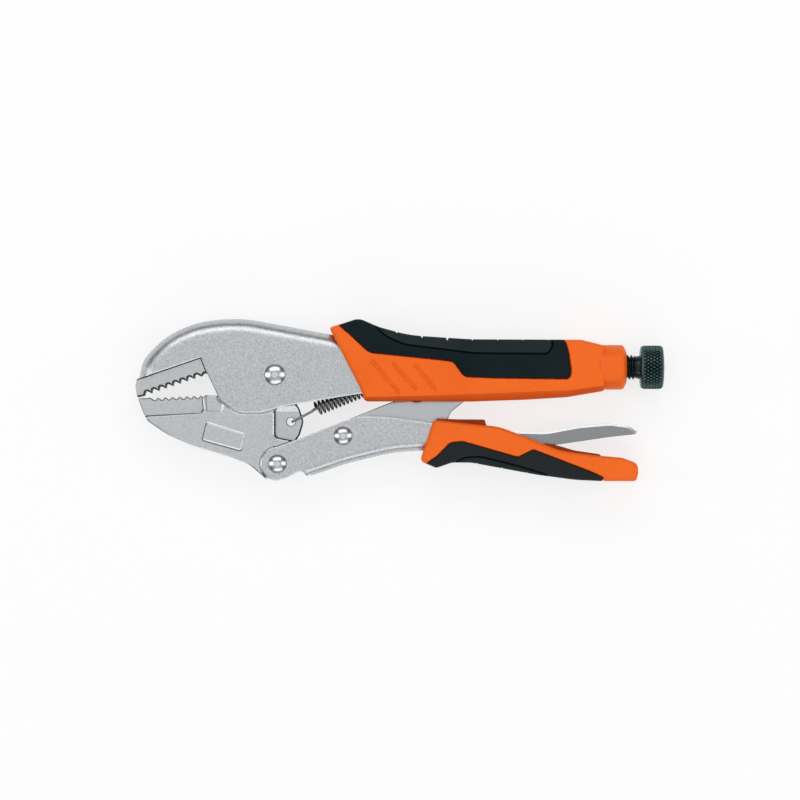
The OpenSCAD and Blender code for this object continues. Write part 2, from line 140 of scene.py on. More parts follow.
def dist(pts, line, closed=True):
    """Distance from each point to a polyline."""
    a = line if closed else line[:-1]
    b = np.roll(line, -1, 0) if closed else line[1:]
    d = b - a
    l2 = np.maximum((d ** 2).sum(1), 1e-12)
    best = np.full(len(pts), 1e9)
    batch = 4000
    for s in range(0, len(pts), batch):
        p = pts[s:s + batch, None, :]
        t = np.clip(((p - a) * d).sum(2) / l2, 0, 1)
        e = p - (a + t[..., None] * d)
        best[s:s + batch] = np.sqrt((e ** 2).sum(2)).min(1)
    return best


def normals(line, closed=True):
    """Inward unit normals of an anticlockwise polyline."""
    if closed:
        t = np.roll(line, -1, 0) - np.roll(line, 1, 0)
    else:
        t = np.gradient(line, axis=0)
    t /= np.maximum(np.linalg.norm(t, axis=1), 1e-9)[:, None]
    return np.stack([-t[:, 1], t[:, 0]], 1)


def rows(line, offsets, closed=False):
    """Points on both sides of a line, where a groove, rib or step needs them."""
    n = normals(line, closed)
    return np.concatenate([line + n * d for d in offsets])


def spline(points, step=0.3):
    """Catmull-Rom curve through points."""
    p = np.asarray(points, float)
    q = np.concatenate([[2 * p[0] - p[1]], p, [2 * p[-1] - p[-2]]])
    out = []
    for a, b, c, d in zip(q, q[1:], q[2:], q[3:]):
        k = max(2, int(np.linalg.norm(c - b) / step))
        for t in np.linspace(0, 1, k, endpoint=False):
            square = (2 * a - 5 * b + 4 * c - d) * t ** 2
            cube = (3 * b - a - 3 * c + d) * t ** 3
            out.append(0.5 * (2 * b + (c - a) * t + square + cube))
    out.append(p[-1])
    return np.array(out)


# -------- edge and groove profiles

def smooth(t):
    t = np.clip(t, 0, 1)
    return t * t * (3 - 2 * t)


def rolled(d, r):
    """How far an edge of radius r has fallen at distance d from it."""
    t = np.clip(d, 0, r)
    return r - np.sqrt(np.maximum(r ** 2 - (r - t) ** 2, 0))


def chamfer(d, width, slope):
    """How far a flat chamfer has fallen at distance d from its edge."""
    return slope * np.clip(width - d, 0, width)


def groove(d, half):
    """Depth from 0 to 1 of a round groove at distance d from its middle."""
    return np.clip(1 - (d / half) ** 2, 0, 1)


# -------- meshes

def mesh_object(name, verts, faces):
    """A mesh from points in millimetres, with its double points merged."""
    me = bpy.data.meshes.new(name)
    me.from_pydata([tuple(v) for v in np.asarray(verts) * MM], [], [tuple(map(int, f)) for f in faces])
    me.validate()
    me.update()
    gap = 2.5e-6  # in metres
    bm = bmesh.new()
    bm.from_mesh(me)
    bmesh.ops.remove_doubles(bm, verts=bm.verts, dist=gap)
    bmesh.ops.dissolve_degenerate(bm, dist=gap, edges=bm.edges)
    bmesh.ops.recalc_face_normals(bm, faces=bm.faces)
    bm.to_mesh(me)
    bm.free()
    me.update()
    o = bpy.data.objects.new(name, me)
    bpy.context.scene.collection.objects.link(o)
    return o


def solid(name, points, border, gap, heights):
    """A closed piece over flat points, of which the first `border` are its outline."""
    edges = [(i, (i + 1) % border) for i in range(border)]
    result = delaunay_2d_cdt([Vector(p) for p in points], edges, [], 1, gap)
    flat = np.array([(v.x, v.y) for v in result[0]])
    top, bottom = heights(flat)
    verts = np.concatenate([np.c_[flat, top], np.c_[flat, bottom]])
    n = len(flat)
    faces, sides = [], {}
    for f in result[2]:
        f = list(f)
        a, b, c = (flat[i] for i in f[:3])
        if (b[0] - a[0]) * (c[1] - a[1]) - (b[1] - a[1]) * (c[0] - a[0]) < 0:
            f = f[::-1]
        faces += [f, [i + n for i in f[::-1]]]
        for i, j in zip(f, f[1:] + f[:1]):
            sides[i, j] = True
    for i, j in sides:
        if (j, i) not in sides:
            faces += [[j, i, i + n], [j, i + n, j + n]]
    return mesh_object(name, verts, faces)


def ring_points(poly, reach, count):
    """Rows of points that follow an outline on its inside, closer together near its edge."""
    inward = normals(poly)
    found = []
    for k in range(1, count + 1):
        d = max(reach * (1 - math.cos(math.pi / 2 * k / count)), 0.02)
        p = poly + inward * d
        p = p[inside(p, poly)]
        if len(p):
            p = p[dist(p, poly) > 0.93 * d]
        found.append(p)
    return found


def grid_points(poly, grid, margin):
    """A staggered grid inside an outline that keeps a margin from it."""
    lo, hi = poly.min(0), poly.max(0)
    x, y = np.meshgrid(*(np.arange(a + grid / 2, b, grid) for a, b in zip(lo, hi)))
    g = np.stack([x.ravel(), y.ravel()], 1)
    g[:, 0] += (np.round(g[:, 1] / grid) % 2) * grid / 2
    g = g[inside(g, poly)]
    return g[dist(g, poly) > margin] if len(g) else g


def spaced(poly, groups, gap=0.05, cell=0.06):
    """The outline's points, then those of each group that keep a gap from all before them."""
    cells = {(int(x // cell), int(y // cell)): (x, y) for x, y in poly}
    kept = [tuple(p) for p in poly]
    for x, y in np.concatenate(groups).tolist():
        i, j = int(x // cell), int(y // cell)
        around = (cells.get((i + a, j + b)) for a in (-1, 0, 1) for b in (-1, 0, 1))
        if not any(q and (q[0] - x) ** 2 + (q[1] - y) ** 2 < gap ** 2 for q in around):
            cells[i, j] = (x, y)
            kept.append((x, y))
    return kept


def slab(name, poly, height, rings, grid, extra=None):
    """A closed piece inside poly that reaches height(p) to both sides of the mid-plane.
    rings: (reach, count) of rows that follow the outline. extra: points where the surface changes."""
    poly = ccw(poly)
    groups = []
    if extra is not None:
        e = extra[inside(extra, poly)]
        groups.append(e[dist(e, poly) > 0.03])
    for reach, count in rings:
        groups += ring_points(poly, reach, count)
    groups.append(grid_points(poly, grid, max(reach for reach, count in rings) + grid * 0.3))

    def heights(p):
        h = height(p)
        return MID + h, MID - h

    return solid(name, spaced(poly, groups), len(poly), 1e-5, heights)


def block(poly, half=None):
    """A plain prism across the mid-plane, or right through the tool, to cut or join with."""
    poly = ccw(poly)
    low, high = THROUGH if half is None else (MID - half, MID + half)
    return solid("block", poly, len(poly), 1e-6, lambda p: (np.full(len(p), high), np.full(len(p), low)))


def boolean(o, tool, op="DIFFERENCE"):
    """Cuts, joins or intersects a piece with a tool, which is used up."""
    md = o.modifiers.new("b", "BOOLEAN")
    md.operation = op
    md.object = tool
    md.solver = "MANIFOLD"
    bpy.context.view_layer.update()
    dg = bpy.context.evaluated_depsgraph_get()
    me = bpy.data.meshes.new_from_object(o.evaluated_get(dg))
    old = [o.data, tool.data]
    o.modifiers.clear()
    o.data = me
    bpy.data.objects.remove(tool)
    for used in old:
        bpy.data.meshes.remove(used)


def ring_faces(count, n):
    """Quads between each ring of n points and the next."""
    return [(i * n + j, i * n + (j + 1) % n, (i + 1) * n + (j + 1) % n, (i + 1) * n + j)
            for i in range(count - 1) for j in range(n)]


def lathe(name, profile, n=96):
    """Turns [radius, height] points about Z."""
    a = np.linspace(0, 2 * math.pi, n, endpoint=False)
    verts = [(r * math.cos(t), r * math.sin(t), z) for r, z in profile for t in a]
    return mesh_object(name, verts, ring_faces(len(profile), n))


def move(o, at):
    """Moves a turned piece from the origin to a place in the XY plane."""
    o.data.transform(Matrix.Translation((at[0] * MM, at[1] * MM, 0)))


def along_screw(o):
    """Lays a turned piece on the screw's axis, with its height along +X."""
    o.data.transform(Matrix(((0, 0, 1, 0), (1, 0, 0, SCREW_Y * MM), (0, 1, 0, MID * MM), (0, 0, 0, 1))))


def pin(name, at, radius, half, n=32, side=0.3, drop=0.3):
    """A plain pin across the tool, with bevelled ends."""
    top = [[POLE, half], [radius - side, half], [radius, half - drop]]
    o = lathe(name, [[r, MID - z] for r, z in top] + [[r, MID + z] for r, z in reversed(top)], n)
    move(o, at)
    return o


def sweep(name, path, r, m):
    """A round wire along a path, with flat ends."""
    t = np.gradient(path, axis=0)
    t /= np.linalg.norm(t, axis=1)[:, None]
    u = unit(np.cross(t[0], [0.3, 0.2, 0.9]))
    verts = []
    a = np.linspace(0, 2 * math.pi, m, endpoint=False)
    for i, p in enumerate(path):
        u = unit(u - (u @ t[i]) * t[i])
        w = np.cross(t[i], u)
        verts += [p + r * (math.cos(b) * u + math.sin(b) * w) for b in a]
    n = len(path)
    ends = [tuple(range(m))[::-1], tuple((n - 1) * m + j for j in range(m))]
    return mesh_object(name, verts, ring_faces(n, m) + ends)


# -------- materials

def colour_ramp(tree, source, stops):
    """A ramp node with (position, colour) stops."""
    n = tree.nodes.new("ShaderNodeValToRGB")
    e = n.color_ramp.elements
    while len(e) < len(stops):
        e.new(0.5)
    for k, (position, colour) in enumerate(stops):
        e[k].position = position
        e[k].color = (*colour, 1)
    tree.links.new(source, n.inputs["Fac"])
    return n.outputs["Color"]


class Nodes:
    """A small builder for one procedural material."""

    def __init__(self, name, **values):
        self.mat = bpy.data.materials.new(name)
        self.mat.use_nodes = True
        self.tree = self.mat.node_tree
        self.shader = self.tree.nodes["Principled BSDF"]
        self.place = self.new("ShaderNodeTexCoord").outputs["Object"]
        for k, v in values.items():
            self.shader.inputs[k.replace("_", " ")].default_value = v

    def new(self, kind, **values):
        n = self.tree.nodes.new(kind)
        for k, v in values.items():
            if hasattr(n, k):
                setattr(n, k, v)
            else:
                n.inputs[k].default_value = v
        return n

    def link(self, a, b):
        self.tree.links.new(a, b)

    def noise(self, scale, detail, rough=0.5):
        n = self.new("ShaderNodeTexNoise", Scale=scale, Detail=detail, Roughness=rough)
        self.link(self.place, n.inputs["Vector"])
        return n.outputs["Fac"]

    def remap(self, src, low, high):
        """The middle of a noise's range as a value from low to high."""
        n = self.new("ShaderNodeMapRange")
        for k, v in zip(("From Min", "From Max", "To Min", "To Max"), (0.3, 0.7, low, high)):
            n.inputs[k].default_value = v
        self.link(src, n.inputs["Value"])
        return n.outputs[0]

    def bump(self, sources):
        last = None
        for src, strength, distance in sources:
            n = self.new("ShaderNodeBump", Strength=strength, Distance=distance)
            self.link(src, n.inputs["Height"])
            if last:
                self.link(last, n.inputs["Normal"])
            last = n.outputs["Normal"]
        self.link(last, self.shader.inputs["Normal"])

    def colour(self, src, stops):
        self.link(colour_ramp(self.tree, src, stops), self.shader.inputs["Base Color"])

    def rough(self, src):
        self.link(src, self.shader.inputs["Roughness"])


COOL = (0.965, 1.0, 1.03)


def steel(name, lo, hi, rough, speckle, bump=0.35, tint=COOL):
    """Satin plated steel with the fine sandy grain of blasted metal."""
    m = Nodes(name, Metallic=1.0)
    cells = m.new("ShaderNodeTexVoronoi", Scale=2500.0)
    m.link(m.place, cells.inputs["Vector"])
    random = m.new("ShaderNodeSeparateColor")
    m.link(cells.outputs["Color"], random.inputs[0])
    soft_grain = m.noise(1100.0, 3.0, 0.7)
    mix = m.new("ShaderNodeMath", operation="MULTIPLY_ADD")
    m.link(random.outputs[0], mix.inputs[0])
    mix.inputs[1].default_value = 0.5
    m.link(m.remap(soft_grain, 0.0, 0.5), mix.inputs[2])
    half, mean = (hi - lo) / 2 * speckle, (hi + lo) / 2
    dark, light = ([v * t for t in tint] for v in (mean - half, mean + half))
    m.colour(mix.outputs[0], [(0.15, dark), (0.85, light)])
    m.rough(m.remap(soft_grain, rough - 0.04, rough + 0.06))
    if bump:
        m.bump([(mix.outputs[0], bump, 0.00005)])
    return m.mat


def plastic(name, lo, hi, rough, grain, spec):
    """Moulded plastic or rubber with a fine grain and a slight change of colour."""
    m = Nodes(name, Specular_IOR_Level=spec)
    broad = m.noise(45.0, 3.0)
    fine = m.noise(3200.0, 2.0, 0.6)
    m.colour(broad, [(0.3, lo), (0.7, hi)])
    m.rough(m.remap(fine, rough - 0.05, rough + 0.05))
    m.bump([(fine, grain, 0.00004), (m.noise(260.0, 2.0), grain * 0.6, 0.00006)])
    return m.mat


SHEET = steel("satin_sheet", 0.42, 0.66, 0.34, 1.0)
JAW = steel("ground_jaw_steel", 0.46, 0.64, 0.33, 0.8)
EDGE = steel("smooth_link_steel", 0.49, 0.57, 0.32, 0.5, bump=0.1)
BRIGHT = steel("bright_rivet_steel", 0.61, 0.67, 0.25, 0.3, bump=0)
SPRING = steel("spring_wire_steel", 0.18, 0.25, 0.15, 0.5, bump=0)
# The release lever's steel is painted darker than the sheet: painted shade on its side.
RELEASE_SHADE_STEEL = steel("release_lever_painted_shade_steel", 0.25, 0.32, 0.30, 0.6, bump=0.1)
OXIDE = steel("black_oxide_steel", 0.065, 0.14, 0.30, 0.6, bump=0.1, tint=(0.60, 1.0, 1.0))
THREAD = steel("oiled_thread_steel", 0.02, 0.05, 0.30, 0.6, bump=0.1, tint=(0.75, 1.0, 1.02))
# Near-black steel painted into seams, grooves and round the rivet heads: painted shade.
SEAM_SHADE = steel("painted_seam_shade_steel", 0.05, 0.09, 0.45, 0.5, bump=0)
# Dark steel painted on tooth chamfers, edges and slopes: painted shade.
EDGE_SHADE = steel("painted_edge_shade_steel", 0.08, 0.14, 0.40, 0.5, bump=0)
ORANGE = plastic("orange_shell_plastic", (0.88, 0.132, 0.006), (0.93, 0.146, 0.008), 0.40, 0.10, 0.22)
SHADE_ORANGE = plastic("shaded_orange_plastic", (0.70, 0.094, 0.005), (0.76, 0.104, 0.006), 0.45, 0.10, 0.18)
# Orange darkened as painted shade, for the boss under the grip and the strips inside the lever grip.
ORANGE_PAINTED_SHADE = plastic("orange_plastic_painted_shade", (0.24, 0.028, 0.003), (0.27, 0.033, 0.004), 0.50, 0.10, 0.15)
RUBBER = plastic("black_rubber", (0.003, 0.009, 0.012), (0.006, 0.013, 0.016), 0.50, 0.35, 0.08)
LEVER_RUBBER = plastic("grey_black_rubber", (0.010, 0.014, 0.016), (0.016, 0.020, 0.022), 0.50, 0.35, 0.12)
RUBBER_PAD = plastic("soft_pad_rubber", (0.010, 0.018, 0.020), (0.015, 0.025, 0.027), 0.55, 0.45, 0.09)


def paint(o, choose):
    """Materials by face: choose(centres in mm, normals) gives each face its place in the list."""
    n = len(o.data.polygons)
    c, m = np.empty(n * 3, np.float32), np.empty(n * 3, np.float32)
    o.data.polygons.foreach_get("center", c)
    o.data.polygons.foreach_get("normal", m)
    numbers = np.asarray(choose(c.reshape(-1, 3) / MM, m.reshape(-1, 3)), np.int32)
    o.data.polygons.foreach_set("material_index", numbers)
    o.data.update()


def shade(o, angle):
    """Smooth shading, with sharp edges where faces meet at more than an angle."""
    o.data.shade_smooth()
    o.data.set_sharp_from_angle(angle=math.radians(angle))


def finish_piece(o, materials, body, node, angle=32):
    """Materials, shading, the body that the piece rides on and the CAD node that it replaces."""
    o.data.materials.clear()
    for m in materials:
        o.data.materials.append(m)
    shade(o, angle)
    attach(o, body)
    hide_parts(node)


# -------- handle channel

# The channel is bent full round along the back, which starts at the nose.
BACK = [[-126.3, 3.5], [-125.4, 10.1, 0.5], [-123.6, 19.2, 22], [-112.9, 30.4, 40], [-99.1, 36.8, 46],
        [-85.9, 38.9, 76], [-73.3, 38.9, 62], [-19.3, 28.9, 150], [28.7, 23.7, 150], [94, 23.7]]
CHEEK = [[-125.39, 10.15], [-123.4, 10.9], [-95.5, 20.5, 0.8], [-92.6, 13.1, 2], [-86.3, -0.2, 3],
         [-81.6, -3.8, 5], [-76.5, -6.1, 9], [-66.4, -6, 12], [-55.4, -2.8, 20], [-18.4, 3.2, 40],
         [38.3, 4, 60], [94, 7.6]]
SHEET_EDGE = 0.6  # width of the chamfer along a sheet's cut edge
SHEET_SLOPE = 0.6
CAVITY_BEND = 4.9  # inner radius of the bend
BARREL_FRONT, BARREL_REAR = 62, 98.9
spine = outline(BACK, closed=False)
under = outline(CHEEK, closed=False)
above = spine[(spine[:, 1] > 10.3) | (spine[:, 0] > -100)]
frame_line = ccw(np.concatenate([under, above[::-1]]))
inner = spine - normals(spine, False) * WALL
inner = inner[inner[:, 0] < BARREL_FRONT - 0.1]
below = [[BARREL_FRONT, inner[-1][1]], [BARREL_FRONT, -14], [-127, -14], [-127, 3.0]]
cavity_line = np.concatenate([inner, below])


def frame_height(p):
    bend = CHANNEL - rolled(dist(p, spine, False), CHANNEL)
    return np.minimum(bend, CHANNEL - chamfer(dist(p, under, False), SHEET_EDGE, SHEET_SLOPE))


def cavity_height(p):
    return HOLLOW - rolled(dist(p, inner, False), CAVITY_BEND)


channel = slab("Handle_Channel", frame_line, frame_height, rings=((CHANNEL, 14), (SHEET_EDGE, 3)), grid=3.0)
boolean(channel, slab("cavity", cavity_line, cavity_height, rings=((CAVITY_BEND, 6),), grid=8.0))
finish_piece(channel, [SHEET], "handle", "handle_frame", 29)

# Barrel that closes the rear end of the channel round the screw bush.
BARREL_RADIUS, BUSH_RADIUS, BORE = 8.6, 7.0, 6.15
barrel = lathe("Channel_Barrel", [[BUSH_RADIUS, BARREL_FRONT], [BARREL_RADIUS - 0.4, BARREL_FRONT],
                                  [BARREL_RADIUS, BARREL_FRONT + 0.4], [BARREL_RADIUS, BARREL_REAR - 0.4],
                                  [BARREL_RADIUS - 0.4, BARREL_REAR], [BUSH_RADIUS, BARREL_REAR],
                                  [BUSH_RADIUS, BARREL_FRONT]])
along_screw(barrel)
finish_piece(barrel, [SHEET], "handle", "handle_frame")

BUSH_FRONT = 78
bush = lathe("Screw_Bush", [[BORE, BUSH_FRONT], [BUSH_RADIUS, BUSH_FRONT], [BUSH_RADIUS, BARREL_REAR - 0.2],
                            [BUSH_RADIUS - 0.3, BARREL_REAR], [BORE + 0.15, BARREL_REAR],
                            [BORE, BARREL_REAR - 0.3], [BORE, BUSH_FRONT]])
along_screw(bush)
finish_piece(bush, [JAW], "handle", "screw_bush")

# -------- upper jaw


def teeth(start, end, count, depth):
    """Corners of saw teeth along a line, cut in on its left side."""
    start, end = np.array(start, float), np.array(end, float)
    along = unit(end - start)
    deep = np.array([-along[1], along[0]]) * depth
    pitch = np.linalg.norm(end - start) / count
    corners = []
    for i in range(count):
        corners.append([*(start + along * pitch * i), 0.12])
        for share in (0.28, 0.5):
            corners.append([*(start + along * pitch * (i + share) + deep), 0.15])
    return corners + [[*end, 0.12]]


UPPER_TEETH = teeth([-122.4, 2], [-95.2, 11.2], 8, 1.75)[1:]
UPPER = ([[-125.9, 1.2, 0.3], [-122.4, 2, 0.3]] + UPPER_TEETH
         + [[-93.7, 12.9, 0.2], [-90.5, 11.6, 1], [-86, 13, 3], [-86, 28.4, 4], [-95, 28.4, 6],
            [-106, 24, 6], [-118.5, 12.9], [-123.2, 11.2, 0.5], [-126.4, 10, 1], [-127, 7, 3],
            [-126.7, 4.2, 3]])
CHEEK_EDGE = [[-126.5, 9.85], [-123.4, 10.9], [-95.5, 20.5, 0.8], [-92.6, 13.1, 2], [-88, 3]]
BITE, UPPER_EDGE = 0.95, 0.25  # width of the chamfer along the teeth, and radius of the other edges
CHEEK_GROOVE = 0.5  # half the width of the seam along the channel's cheek
upper_line = ccw(outline(UPPER, 0.5))
bite_line = outline([[-126.0, 1.6], [-122.4, 2, 0.3]] + UPPER_TEETH + [[-93.7, 12.9]], 0.4, False)
cheek_line = outline(CHEEK_EDGE, 0.5, False)


def upper_height(p):
    h = HOLLOW - chamfer(dist(p, bite_line, False), BITE, 0.9)
    h = np.minimum(h, HOLLOW - rolled(dist(p, upper_line), UPPER_EDGE))
    return h - 1.6 * groove(dist(p, cheek_line, False), CHEEK_GROOVE)


# Painted shade: near-black steel in the groove along the cheek, dark steel on the chamfer along the teeth.
def upper_paint(c, m):
    seam = dist(c[:, :2], cheek_line, False) < 0.40
    tooth = dist(c[:, :2], bite_line, False) < 0.88
    return np.where(seam, 1, np.where(tooth, 2, 0))


upper = slab("Upper_Jaw", upper_line, upper_height, rings=((UPPER_EDGE, 3), (BITE, 4)), grid=1.6,
             extra=rows(cheek_line, (-0.5, -0.35, -0.15, 0, 0.15, 0.35, 0.5)))
finish_piece(upper, [JAW, SEAM_SHADE, EDGE_SHADE], "handle", "upper_jaw", 28)
paint(upper, upper_paint)

# -------- rivet and spring pin of the handle

HEAD_RING = 0.17  # width of the ring round each rivet's head that is painted dark as a painted shadow


def rivet(name, at, shank, head, body, node):
    """Rivet through both cheeks: domed heads with a flat in the middle, and round each a thin ring painted
    dark as a painted shadow.
    """
    flat, rise, rim = 0.34 * head, 1.85, 0.30
    ball = (head ** 2 + rise ** 2) / (2 * rise)
    top = [[POLE, rim + rise - 0.07], [flat * 0.85, rim + rise - 0.07], [flat, rim + rise - 0.02]]
    for k in range(1, 13):
        r = flat + (head - 0.12 - flat) * k / 12
        top.append([r, rim + math.sqrt(ball ** 2 - r ** 2) - (ball - rise)])
    top += [[head - 0.03, rim - 0.02], [head, rim - 0.15], [head, 0.03]]
    top += [[head + HEAD_RING, 0.02], [head + HEAD_RING, -0.05]]
    profile = [[r, MID + CHANNEL + z] for r, z in top]
    profile += [[shank, MID + CHANNEL - 0.1], [shank, MID - CHANNEL + 0.1]]
    profile += [[r, MID - CHANNEL - z] for r, z in reversed(top)]
    o = lathe(name, profile)
    move(o, at)
    finish_piece(o, [BRIGHT, SEAM_SHADE], body, node, 24)
    # The thin ring outside each head gets the near-black steel: a painted shadow.
    paint(o, lambda c, m: (np.hypot(c[:, 0] - at[0], c[:, 1] - at[1]) > head + 0.02).astype(int))


rivet("Main_Rivet", MAIN_PIVOT, 3.6, 4.85, "handle", "main_pivot_rivet")
finish_piece(pin("Spring_Anchor", SPRING_PIN, 1.6, 7.3), [EDGE], "handle", "spring_anchor_pin")

# -------- moulded grips

GRIP_EDGE = 2.4  # radius along the outline of both grips
GRIP_CROWN, LEVER_CROWN = 9.0, 7.0  # how far the crown reaches in from the outline
PANEL_GROOVE, PAD_GROOVE = 0.42, 0.5  # half the width of the grooves round the panel and the pad


def moulded(edge, reach, crown):
    """Height of a grip at a distance from its outline: a round edge and a slight crown."""
    return MID - rolled(edge, GRIP_EDGE) - (1 - smooth(edge / reach)) * crown


def panel_depth(p, panel, pad):
    """Depth of the grooves round the panel and its pad, and of the step between the two."""
    depth = np.zeros(len(p))
    for line, half, deep in ((panel, PANEL_GROOVE, 1.1), (pad, PAD_GROOVE, 1.6)):
        d = dist(p, line)
        depth += np.where(inside(p, panel) | (d < 0.6), deep * groove(d, half), 0)
    step = inside(p, panel) & ~inside(p, pad)
    return depth + np.where(step, 0.25 * smooth(dist(p, panel) / 0.9), 0)


def panel_rows(panel, pad):
    return [rows(panel, (-0.42, -0.2, 0, 0.2, 0.42, 0.9), True),
            rows(pad, (-0.5, -0.35, -0.18, 0, 0.18, 0.35, 0.5), True)]


def make_room(o, steel_line, link_line):
    """Leaves the room that the steel channel and the moving pieces take inside a grip."""
    boolean(o, block(steel_line, CHANNEL + 0.02))
    boolean(o, block(link_line, HOLLOW + 0.2))


# -------- handle grip

GRIP = [[-32.6, 32, 0.5], [-18.9, 5.4, 6], [-16.9, -0.7, 2.1], [33.5, -0.8, 60], [60, 0.1, 60], [80, 1.3, 30],
        [97.2, 4.2, 6], [98.1, 5.2, 0.4], [98.1, 26.1, 0.4], [87, 28.9, 10], [34, 29.1, 150], [4, 31.1, 90],
        [-10, 35.0, 20], [-19.8, 39.2, 7], [-28, 36.5, 12], [-33.9, 34.8, 1.2]]
PANEL = [[-29.4, 45], [-29.4, 36], [-24.2, 31.6, 20], [-14.8, 22.8, 7], [20, 19.2, 60], [25.6, 18.4, 3],
         [30.8, 11.2, 4], [45, 10.6, 20], [81.6, 10.1, 3.5], [81.9, 15, 10], [80.4, 25, 20], [77.6, 31],
         [77.6, 45]]
PAD = [[-12.8, 45], [-12.8, 36.2], [-6.8, 30.6, 12], [2, 26.6, 20], [36, 22.4, 60], [70.6, 22.2, 2.4],
       [73.4, 26, 5], [72, 30], [72, 45]]
RIBS = np.array([[[-13.1, 18.4], [-1.1, 4.5]], [[-3.3, 17.4], [7.6, 5.4]], [[7.6, 16.2], [16.7, 5.4]]])
LOWER_FLANK = [[-17.2, 1.5], [0, 1.9], [24, 2.5], [57.6, 3.8], [81.6, 4.8], [97.5, 7.0]]
GRIP_ROOM = [[-125, 4], [-80, -4], [-55.4, -2.8], [-18.4, 3.15], [38.3, 3.95], [97.0, 7.5],
             [97.0, 23.75], [28.7, 23.75], [-19.3, 28.95], [-73.3, 38.95]]
GRIP_WAY = [[-30, -3], [60, -3], [60, 12], [-30, 14]]
NOTCH_X = [-1.6 + 12.1 * i for i in range(7)]
NOTCH_TOP = [32.6, 30.4] + 5 * [29.3]  # the pad's back at each soft notch
NOTCH_CUT = [32.9, 30.6] + 5 * [29.35]  # the same for the small cut at the notch's end
NOTCH_HALF = 1.1
grip_line = ccw(outline(GRIP, 0.7))
panel_line = outline(PANEL, 0.6)
pad_line = outline(PAD, 0.6)
lower_flank = outline(LOWER_FLANK, 0.7, False)


def below_flank(p):
    """How far points lie below the line where the grip's lower side starts to slope."""
    return np.interp(p[:, 0], lower_flank[:, 0], lower_flank[:, 1]) - p[:, 1]


def pad_notches(p):
    """Depth from 0 to 1 of the small vee grooves that cross the top of the palm pad."""
    cut = np.zeros(len(p))
    for x, top in zip(NOTCH_X, NOTCH_TOP):
        vee = np.clip(1 - np.abs(p[:, 0] - x) / NOTCH_HALF, 0, 1)
        cut = np.maximum(cut, vee * smooth((p[:, 1] - (top - 3.2)) / 1.5))
    return cut


def grip_height(p):
    h = moulded(dist(p, grip_line), GRIP_CROWN, 0.55)
    h -= np.where(p[:, 0] > -17, np.clip(below_flank(p), 0, 3) * 0.7, 0)
    h -= np.where(inside(p, panel_line), 0, 0.8)
    h -= panel_depth(p, panel_line, pad_line)
    for rib in RIBS:
        h += 0.95 * (1 - smooth((dist(p, rib, False) - 0.15) / 0.6))
    h -= 0.5 * pad_notches(p) * inside(p, pad_line)
    return np.clip(h, 0.3, MID)


def grip_rows():
    e = panel_rows(panel_line, pad_line) + [rows(lower_flank, (-0.06, 0.06))]
    for rib in RIBS:
        line = outline(rib, 0.5, False)
        e.append(rows(line, (-0.9, -0.72, -0.5, -0.3, -0.12, 0.12, 0.3, 0.5, 0.72, 0.9)))
    for x in NOTCH_X:
        for dx in (-1, -0.5, 0, 0.5, 1):
            e.append(np.stack([np.full(26, x + dx * NOTCH_HALF), np.linspace(26, 36, 26)], 1))
    return np.concatenate(e)


def grip_body(name):
    o = slab(name, grip_line, grip_height, rings=((GRIP_EDGE, 6), (GRIP_CROWN, 4)), grid=2.2,
             extra=grip_rows())
    make_room(o, GRIP_ROOM, GRIP_WAY)
    return o


def grip_paint(c, m):
    return ((below_flank(c) > 0.05) & (c[:, 0] > -17.2)).astype(int)


grip = grip_body("Handle_Grip_Cover")
boolean(grip, block(panel_line))
finish_piece(grip, [ORANGE, SHADE_ORANGE], "handle", "handle_grip", 35)
paint(grip, grip_paint)

panel = grip_body("Handle_Grip_Inlay")
boolean(panel, block(panel_line), "INTERSECT")
boolean(panel, block(pad_line))
finish_piece(panel, [RUBBER], "handle", "handle_grip_inlay", 35)

pad = grip_body("Handle_Palm_Pad")
boolean(pad, block(pad_line), "INTERSECT")
for x, y in zip(NOTCH_X, NOTCH_CUT):
    boolean(pad, block([[x - 0.15, y - 0.75], [x + 0.25, y - 0.75], [x + 0.8, y + 0.6], [x - 0.6, y + 0.6]]))
finish_piece(pad, [RUBBER_PAD], "handle", "handle_palm_pad", 35)

# Round collar behind the grip, with a rolled end round the screw.
COLLAR_FRONT, COLLAR_RADIUS = 96, 10.75
collar = lathe("Grip_Collar", [[8.0, COLLAR_FRONT], [COLLAR_RADIUS - 0.05, COLLAR_FRONT],
                               [COLLAR_RADIUS, COLLAR_FRONT + 0.4], [COLLAR_RADIUS, 106.0], [10.68, 106.5],
                               [10.45, 107.0], [10.1, 107.4], [9.6, 107.75], [8.8, 108.1], [7.6, 108.6],
                               [7.0, 108.85], [6.6, 108.8], [6.5, 108.4], [6.5, COLLAR_FRONT],
                               [8.0, COLLAR_FRONT]], 128)
along_screw(collar)
finish_piece(collar, [ORANGE], "handle", "handle_grip")

# The boss under the grip is coloured dark orange as painted shade.
boss = pin("Grip_Moulding_Boss", (8.0, 3.5), 4.8, 7.4, 64)
finish_piece(boss, [ORANGE_PAINTED_SHADE], "handle", "handle_grip")

# -------- lower jaw

LOWER_TEETH = teeth([-95.6, 2.3], [-119.8, 1.1], 7, 1.3)
CHIN = [[-125.8, 0.8, 0.5], [-123.2, -6.1, 6]]
# The thin plate with the teeth, and the tang that reaches up to the main rivet.
PLATE = (CHIN + [[-121.9, -8.6, 1], [-119.5, -10.3, 4], [-110.4, -16.6, 30], [-98.8, -21.5, 50],
                 [-81.6, -26.6, 60], [-72.0, -30.3, 14], [-64.4, -36.9], [-60.3, -34], [-60.3, -6], [-56, 0],
                 [-53, 6], [-60, 20], [-66.5, 17], [-75, 9, 4], [-83, 1.9, 3], [-93.8, 2.3, 0.3],
                 [-94.6, 1, 0.3]] + LOWER_TEETH + [[-122.2, 0.9, 0.5]])
